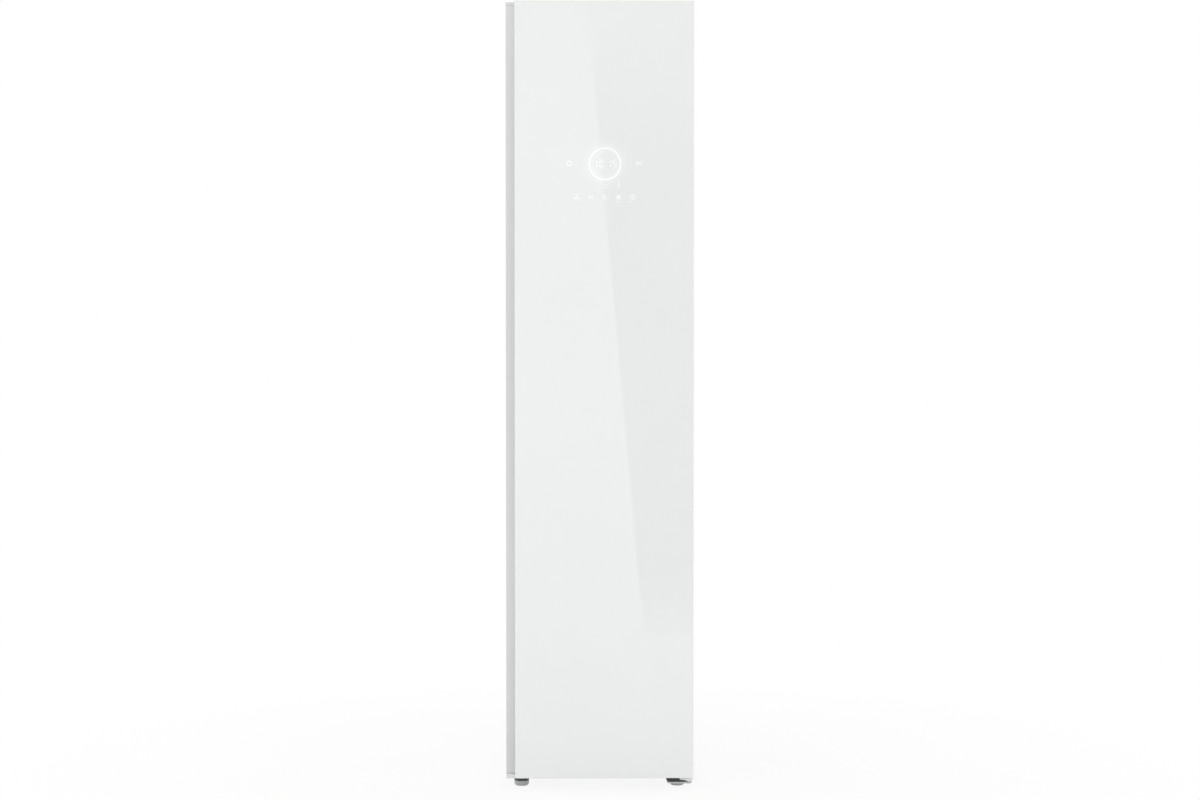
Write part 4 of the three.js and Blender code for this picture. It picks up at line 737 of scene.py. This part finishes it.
def make_rollers():
    """Rear rollers: a rubber tread round a moulded hub."""
    tread = [(11, -10.6), (13.6, -11), (15.2, -10.4), (16, -8.6), (16, -3.2), (15.3, -2.4),
             (15.3, 2.4), (16, 3.2), (16, 8.6), (15.2, 10.4), (13.6, 11), (11, 10.6)]
    hub = [(4.4, -9.6), (6.6, -9.8), (7.2, -7), (10.2, -7), (11, -9.4), (11, 9.4), (10.2, 7),
           (7.2, 7), (6.6, 9.8), (4.4, 9.6)]
    for side, x in (("left", -ROLLER_X), ("right", ROLLER_X)):
        centre = (x, ROLLER_Y, ROLLER_Z)
        bm = turned(tread, centre, 48, "X", True)
        tread_faces = len(bm.faces)
        add_turned(bm, hub, centre, 48, "X", True)
        bm.faces.ensure_lookup_table()
        for face in bm.faces[tread_faces:]:
            face.material_index = 1
        put("turned_roller_" + side, bm, "roller_" + side, "roller_rubber",
            [SLOT_LOOKS["roller_rubber"], SLOT_LOOKS["grey_plastic"]], ("roller_" + side,))


def make_hinge_trim():
    """Under the door's hinge corner: its white bush, the black closing cam with a thin wedge of
    painted shadow under the bush, and the pin's rivet.

    The screws of both hinge plates are here too.
    """
    pin_x, pin_y = HINGE_PIN
    bm = prism([(186.2, UNDER_DOOR), (186.4, 30.2), (189.4, 24.2), (204.5, 21.9), (204.7, 19.3),
                (205.9, 19.3), (205.9, 21.0), (208.5, 21.0), (208.5, 19.3), (212.3, 19.3),
                (212.3, 21.0), (214.9, 21.0), (214.9, 19.3), (218.2, 19.3),
                (218.2, UNDER_DOOR)], -279.4, -276.6, 0.35)
    add_turned(bm, [(8.0, 23.2), (8.6, 22.9), (9.1, 23.4), (9.1, 31.2), (8.7, UNDER_DOOR),
                    (8.0, UNDER_DOOR)], (pin_x, pin_y, 0), 64, closed=True)
    put("door_bush_lower", bm, "door", "white_plastic")
    # the black cam; its thin wedge that tapers right under the white bush is painted shadow, dark
    # plastic where the bush's underside is in shade
    bm = prism([(154.6, UNDER_DOOR), (185.3, UNDER_DOOR), (185.5, 30.0), (188.7, 23.3),
                (203.9, 20.9), (203.9, 19.0), (161.4, 19.0), (158.2, 21.4)],
               -279.5, -276.9, 0.35)
    pour(bm, prism([(156.0, UNDER_DOOR), (184.0, UNDER_DOOR), (190.0, 19.2), (163.0, 19.2)],
                   -278.0, -266.0, 0.5))
    put("closing_cam_and_painted_shadow", bm, "door", "black_plastic")
    bm = turned([(0, 0), (3.4, 0), (4.6, 0.4), (5.2, 1.3), (0, 1.3)], (pin_x, pin_y, 13.3), 32)
    add_turned(bm, [(3.0, 0), (7.4, 0), (7.8, 0.4), (7.8, 2.2), (7.4, 2.6), (3.0, 2.6)],
               (pin_x, pin_y, 18.7), 32, closed=True)
    put("hinge_pin_rivet", bm, "cabinet", "bright_steel", [SLOT_LOOKS["dark_steel"]])
    put_screws("hinge_screws_lower", [(x, -238.9, 42) for x in (170, 205)], "-Y", radius=4.2)
    put_screws("hinge_screws_upper", [(168, -212, 1834.2), (205, -212, 1834.2),
                                      (187, -195, 1834.2)], "Z", radius=4.2)


# Back and top of the cabinet

def make_back():
    """Pressed rear panel, the louvres' lips, and the screws of the panel, cover and inlet."""
    bm = blocks([in_mm(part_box("rear_panel"))])
    border, bead, bead_depth = 26, 3.5, -0.7
    sunk, screw_y, proud = BACK_FACE - 1.3, BACK_FACE + 0.1, BACK_FACE + 0.4
    back = [f for f in bm.faces if f.normal.y > 0.9]
    bmesh.ops.inset_region(bm, faces=back, thickness=border, depth=0)
    back = [f for f in bm.faces if f.normal.y > 0.9 and f.calc_center_median().z > 600
            and f.calc_area() > 200000]
    bmesh.ops.inset_region(bm, faces=back, thickness=bead, depth=bead_depth)
    inner_sides = [e for e in bm.edges if e.verts[0].co.y > 291 and upright(e)
                   and abs(e.verts[0].co.x) < 190]
    bmesh.ops.subdivide_edges(bm, edges=inner_sides, cuts=3, use_grid_fill=False)
    round_edges(bm, edges_over(bm, 60), 0.25, 2)
    even_shading(put("pressed_rear_panel", bm, "cabinet", "white_sheet",
                     stands_for=("rear_panel",)))

    edge_x, bead_x = 209, 105
    places = [(x, screw_y, z) for x in (-edge_x, edge_x)
              for z in (462, 800, 1140, 1480, 1796)]
    places += [(x, screw_y, 1805) for x in (-bead_x, 0, bead_x)]
    put_screws("rear_panel_screws", places, "Y", radius=3.6)
    swages = [((x - 9, sunk, 540), (x + 9, proud, 1700)) for x in (-bead_x, 0, bead_x)]
    swages += [((-150, sunk, z - 8), (150, proud, z + 8)) for z in (505, 1745)]
    put("rear_panel_swages", blocks(swages, 0.9, 4), "cabinet", "white_sheet")
    places = [(x, screw_y, z) for x in (-edge_x, edge_x) for z in (48, 240, 426)]
    places += [(x, screw_y, 428) for x in (-80, 80)]
    put_screws("service_cover_screws", places, "Y", radius=3.6)

    lips = bmesh.new()
    half, count, lowest, pitch = 75.5, 9, 156, 16
    for step in range(count):
        z = lowest + pitch * step
        made = add_block(lips, (-half, BACK_FACE - 0.9, z - 0.4), (half, BACK_FACE + 0.6, z + 3.4))
        for v in made:
            if v.co.z > z + 1 and v.co.y > BACK_FACE:
                v.co.y = BACK_FACE - 0.2
    put("louvre_lips", lips, "cabinet", "zinc_plate")
    inlet_x, inlet_z, ear = -140, 90, 20.2
    put_screws("inlet_screws", [(inlet_x + dx, BACK_FACE - 0.7, inlet_z) for dx in (-ear, ear)],
               "Y", radius=2.6)


def make_top():
    """Screw caps at the back of the top cover."""
    cap_x, cap_y, cover_top = 190, 262, 1829.9
    bm = bmesh.new()
    for x in (-cap_x, cap_x):
        add_turned(bm, [(0, 0.35), (5.2, 0.35), (6.0, 0.0), (6.0, -0.5), (0, -0.5)],
                   (x, cap_y, cover_top), 32)
    put("top_cover_caps", bm, "cabinet", "white_plastic")


# Door's seal, grip and inner panel

def make_gasket():
    """The door's magnetic seal: one ribbed profile mitred round the door."""
    lo, hi = in_mm(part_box("door_gasket"))
    width = 14
    depth = hi.y - lo.y
    # shares of the width and the depth
    profile = [(0.08, 0.0), (0.92, 0.0), (1.0, 0.1), (1.0, 0.22), (0.82, 0.34), (1.0, 0.46),
               (0.84, 0.6), (1.0, 0.74), (1.0, 0.94), (0.93, 1.0), (0.07, 1.0), (0.0, 0.94),
               (0.0, 0.74), (0.16, 0.6), (0.0, 0.46), (0.18, 0.34), (0.0, 0.22), (0.0, 0.1)]
    bm = bmesh.new()
    loops = []
    for sx, sz in ((-1, -1), (1, -1), (1, 1), (-1, 1)):
        x = hi.x if sx > 0 else lo.x
        z = hi.z if sz > 0 else lo.z
        ring = [bm.verts.new((x - sx * u * width, lo.y + d * depth, z - sz * u * width))
                for u, d in profile]
        loops.append([bm.edges.new(pair) for pair in zip(ring, ring[1:] + ring[:1])])
    for one, other in zip(loops, loops[1:] + loops[:1]):
        bmesh.ops.bridge_loops(bm, edges=one + other)
    bmesh.ops.recalc_face_normals(bm, faces=bm.faces)
    put("ribbed_gasket", bm, "door", "seal_grey", stands_for=("door_gasket",), crease=60)


def make_grip_floor():
    """The lip of the bottom cap, which closes the grip channel below."""
    lip = blocks([((-219.8, -291.2, 30.3), (-199.4, -272.5, 32.2))], 0.8, 3)
    put("grip_channel_floor", lip, "door", "cap_grey")


def make_door_inside():
    """Moulded beads on the door's inner panel, and the ribs of the clamp's fixed rest."""
    sunk = -215.5  # just under the inner panel's face
    bm = blocks([((x - 7, sunk, 540), (x + 7, -212.9, 1330)) for x in (-120, 120)], 1.2, 3)
    add_block(bm, (-150, sunk, 1380), (150, -213.2, 1384), 1.0, 2)
    put("door_panel_beads", bm, "door", "liner_white")
    ribs = [((x - 2.4, -215, 1408.5), (x + 2.4, -213.6, 1419.5)) for x in range(-80, 81, 10)]
    put("clamp_rest_ribs", blocks(ribs, 0.5, 2), "door", "seal_grey")


# Inside of the cabinet

def make_liner_ribs():
    """Shallow beads moulded into the walls: upright ones, and level ones low on the back."""
    wall_x, back_wall, half = 184.5, 260.2, 8
    under_shelf, over_shelf = (470, 668), (716, 1640)
    for side, sign in (("left", -1), ("right", 1)):
        face = sign * wall_x
        beads = [((face - 0.6, y - half, low), (face + 1.2, y + half, high))
                 for y in (-150, -70, 10, 90, 170) for low, high in (under_shelf, over_shelf)]
        put("liner_beads_" + side, blocks(beads, 0.55, 3), "cabinet", "liner_white")
    low, high = over_shelf
    bm = blocks([((x - half, back_wall - 2.1, low), (x + half, back_wall, high))
                 for x in (-120, -40, 40, 120)], 0.8, 3)
    for z in range(500, 621, 15):
        add_block(bm, (-90, back_wall - 2.6, z), (90, back_wall, z + 6), 1.0, 3)
    put("liner_beads_back", bm, "cabinet", "liner_white")


def make_lamp_trim():
    """Thin frame round the ceiling lamp, and the ridges of its lens."""
    half, front, back, low, high, bar = 64, -192.5, -150.5, 1722.4, 1724.9, 3.6
    bars = [((-half, front, low), (half, front + bar, high)),
            ((-half, back - bar, low), (half, back, high))]
    bars += [((x - 1.75, front + 1.5, low + 0.1), (x + 1.75, back - 1.5, high - 0.1))
             for x in (-62.15, 62.15)]
    put("lamp_frame", blocks(bars, 0.8, 2), "cabinet", "liner_white")
    lens_y, lens_z, ridge, reach = -171.5, 1716.6, 1.5, 15
    bm = bmesh.new()
    for x in range(-55, 56, 5):
        add_turned(bm, [(0, -reach), (ridge, -reach), (ridge, reach), (0, reach)],
                   (x, lens_y, lens_z), 12, "Y")
    put("lens_ridges", bm, "cabinet", "milk_plastic")


def make_nozzle_holes():
    """Black discs for the steam nozzle's holes, painted shade that stands in for their dark
    insides: one in the middle and two rings.
    """
    centre_x, centre_y, top, hole = 168, 185, 461.1, 0.8
    bm = bmesh.new()
    for ring, count in ((0, 1), (3.4, 6), (6.6, 10)):
        for i in range(count):
            a = 2 * math.pi * i / count
            place = (centre_x + ring * math.cos(a), centre_y + ring * math.sin(a), top)
            # each hole is a black disc a little proud of the nozzle's top; its darkness is painted
            # shade
            add_turned(bm, [(0, 0.12), (hole, 0.12), (hole, -0.4), (0, -0.4)], place, 12)
    put("painted_dark_nozzle_holes", bm, "cabinet", "black_plastic")


def make_tank_marks():
    """Level marks on the front of each water tank, and the tab on its lid."""
    front, back = TANK_FACE - 0.3, TANK_FACE + 0.3
    lowest, pitch, count, half = 105, 18, 6, 0.7
    highest = lowest + pitch * (count - 1)
    for tank, x in (("drain", -TANK_X), ("supply", TANK_X)):
        scale_x = x + 62
        marks = []
        for i in range(count):
            z = lowest + pitch * i
            length = 9 if z in (lowest, highest) else 5
            marks.append(((scale_x - length, front, z - half), (scale_x + half, back, z + half)))
        marks.append(((scale_x, front, lowest - half), (scale_x + 2 * half, back, highest + half)))
        put(tank + "_level_marks", blocks(marks, 0.2, 2), "cabinet", "grey_plastic",
            [SLOT_LOOKS["hanger_plastic"]])
        tab = blocks([((x - 24, -228.5, 282.9), (x + 24, -210, 284.4))], 0.6, 3)
        put(tank + "_lid_tab", tab, "cabinet", "white_plastic")


def make_duct_front():
    """Ridges, side rims and screws on the grey wall between the tanks and the chamber."""
    lo, hi = in_mm(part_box("duct_tray"))
    bottom = hi.z - 144
    front = lo.y
    half, count, lowest, pitch = 138, 6, bottom + 42, 12
    ridges = []
    for i in range(count):
        z = lowest + pitch * i
        ridges.append(((-half, front - 0.9, z - 2.2), (half, front + 0.8, z + 2.2)))
    put("duct_front_ridges", blocks(ridges, 0.85, 3), "cabinet", "grey_plastic")
    thin = 0.55  # half of a rim's thickness
    rims = [((x - thin, -233.9, hi.z - 143.4), (x + thin, front + 0.4, hi.z - 0.4))
            for x in (lo.x + thin, hi.x - thin)]
    put("duct_front_rims", blocks(rims, 0.2, 2), "cabinet", "grey_plastic")
    put_screws("duct_front_screws", [(x, front - 0.1, z) for x in (-168, 168)
                                     for z in (bottom + 18, hi.z - 18)], "-Y", radius=4.0)


def make_filter_mesh():
    """The lint filter's woven screen, on both faces of its frame."""
    lo, hi = in_mm(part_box("lint_filter"))
    centre = (lo.y + hi.y) / 2
    half, top = 61, 440
    screens = []
    for side in (-1, 1):
        face = centre + side * 0.75
        front, back = sorted((face, face - side * 0.1))
        screens.append(((-half, front, lo.z + 9), (half, back, top)))
    put("filter_screen", blocks(screens), "lint_filter", "black_plastic", [filter_screen])


# Studio

CAMERA_AT = Vector((-0.073, -6.222, 1.10))
CARD_Y = -3.3  # metres in front of the cabinet's middle
SHEEN = ((-30.2, 1850), (113.0, 270.6), (420, 270.6), (420, 1850))  # (x, z) on the glass, mm


def flat(name, bm, look):
    """A flat piece of the studio."""
    mesh = bpy.data.meshes.new(name)
    bm.to_mesh(mesh)
    bm.free()
    mesh.materials.append(look)
    thing = bpy.data.objects.new(name, mesh)
    scene.collection.objects.link(thing)
    return thing


def make_dark_card():
    """A dark screen beside the camera, seen only in reflections: it gives the glass its
    slanting sheen.
    """
    mirrored_y = 2 * GLASS_FACE / MM - CAMERA_AT.y
    eye = Vector((CAMERA_AT.x, mirrored_y, CAMERA_AT.z))  # the camera as the glass mirrors it
    corners = []
    for x, z in SHEEN:
        on_glass = Vector((x / MM, GLASS_FACE / MM, z / MM))
        reach = (CARD_Y - eye.y) / (on_glass.y - eye.y)
        corners.append(eye + (on_glass - eye) * reach)
    top_left, low_left, low_right, top_right = corners
    top_left += (top_left - low_left) * 0.3
    top_right.z = top_left.z
    low_right.z = low_left.z
    bm = bmesh.new()
    bm.faces.new([bm.verts.new(c) for c in corners])

    look, tree, _, place = new_look("dark_card")
    parts = add_node(tree, "SeparateXYZ")
    tree.links.new(place, parts.inputs[0])
    height = parts.outputs["Z"]
    low = low_left.z
    fade = combined(tree, "MULTIPLY", between(tree, height, 0.0, 1.0, low, low + 0.38),
                    between(tree, height, 1.0, 0.28, 1.72, 2.2))
    clear = add_node(tree, "BsdfTransparent")
    dark = add_node(tree, "Emission", {"Strength": 0.0})
    faded = mixed(tree, fade, clear.outputs[0], dark.outputs[0])
    tree.links.new(faded, tree.nodes["Material Output"].inputs["Surface"])
    card = flat("dark_card", bm, look)
    card.visible_camera = False
    card.visible_diffuse = False
    card.visible_shadow = False
    card.visible_transmission = False


def make_camera():
    """Straight in front, with the photograph's height and framing."""
    lens = bpy.data.cameras.new("camera")
    lens.lens = 76.06
    lens.sensor_width = 36.0
    camera = bpy.data.objects.new("camera", lens)
    scene.collection.objects.link(camera)
    camera.location = CAMERA_AT
    camera.rotation_euler = (math.radians(90 - 1.7415), 0, math.radians(-0.71))
    scene.camera = camera


def make_world():
    """White where it is seen, also in reflections, and a softer light on the object."""
    world = bpy.data.worlds.new("studio")
    scene.world = world
    world.use_nodes = True
    tree = world.node_tree
    tree.nodes.clear()
    path = add_node(tree, "LightPath")
    seen = path.outputs["Is Camera Ray"]
    for kind in ("Is Glossy Ray", "Is Transmission Ray"):
        seen = combined(tree, "MAXIMUM", seen, path.outputs[kind])
    soft, white = (add_node(tree, "Background", {"Color": (1, 1, 1, 1), "Strength": strength})
                   for strength in (0.52, 1.0))
    out = add_node(tree, "OutputWorld")
    tree.links.new(mixed(tree, seen, soft.outputs[0], white.outputs[0]), out.inputs["Surface"])


def make_lamp(name, place, size, watts):
    """A square lamp that looks at the cabinet's middle."""
    lamp = bpy.data.lights.new(name, "AREA")
    lamp.shape = "SQUARE"
    lamp.size = size
    lamp.energy = watts
    stand = bpy.data.objects.new(name, lamp)
    scene.collection.objects.link(stand)
    stand.location = place
    towards = Vector((0, 0, 0.95)) - Vector(place)
    stand.rotation_euler = towards.to_track_quat("-Z", "Y").to_euler()
    stand.visible_glossy = False


def make_floor():
    """A pale floor that shows the object's shadow near it and is white further off."""
    bm = bmesh.new()
    bmesh.ops.create_grid(bm, x_segments=1, y_segments=1, size=30)
    look, tree, shader, place = new_look("pale_floor")
    shader.inputs["Base Color"].default_value = (0.92, 0.92, 0.92, 1)
    shader.inputs["Roughness"].default_value = 0.9
    shader.inputs["Specular IOR Level"].default_value = 0.0
    path = add_node(tree, "LightPath")
    away = add_node(tree, "VectorMath", operation="LENGTH")
    tree.links.new(place, away.inputs[0])
    distance = away.outputs["Value"]
    mirrored = add_node(tree, "Emission")
    tree.links.new(between(tree, distance, 0.72, 1.0, 0.6, 3.4), mirrored.inputs["Strength"])
    shaded = mixed(tree, path.outputs["Is Glossy Ray"], shader.outputs[0], mirrored.outputs[0])
    white = add_node(tree, "Emission")
    share = combined(tree, "MULTIPLY", path.outputs["Is Camera Ray"],
                     between(tree, distance, 0.89, 1.0, 0.5, 1.6))
    seen = mixed(tree, share, shaded, white.outputs[0])
    tree.links.new(seen, tree.nodes["Material Output"].inputs["Surface"])
    floor = flat("floor", bm, look)


make_camera()
make_world()
make_lamp("key_left", (-3.2, -4.8, 2.1), 2.6, 92)
make_lamp("fill_right", (3.4, -4.4, 1.7), 2.6, 66)
make_lamp("top", (0, 0.2, 4.6), 2.4, 22)
make_lamp("back_left", (-4.4, 2.0, 1.9), 2.4, 56)
make_lamp("back_right", (4.4, 2.0, 1.9), 2.4, 40)
make_floor()
make_dark_card()
refine_shell()
refine_door()
refine_inside()
refine_works()
make_glass()
make_display()
make_feet()
make_rollers()
make_hinge_trim()
make_back()
make_top()
make_gasket()
make_grip_floor()
make_door_inside()
make_liner_ribs()
make_lamp_trim()
make_nozzle_holes()
make_tank_marks()
make_duct_front()
make_filter_mesh()

for node in frame["nodes"].values():
    slot_name = node.data.materials[0].name
    node.data.materials.clear()
    node.data.materials.append(SLOT_LOOKS[slot_name])
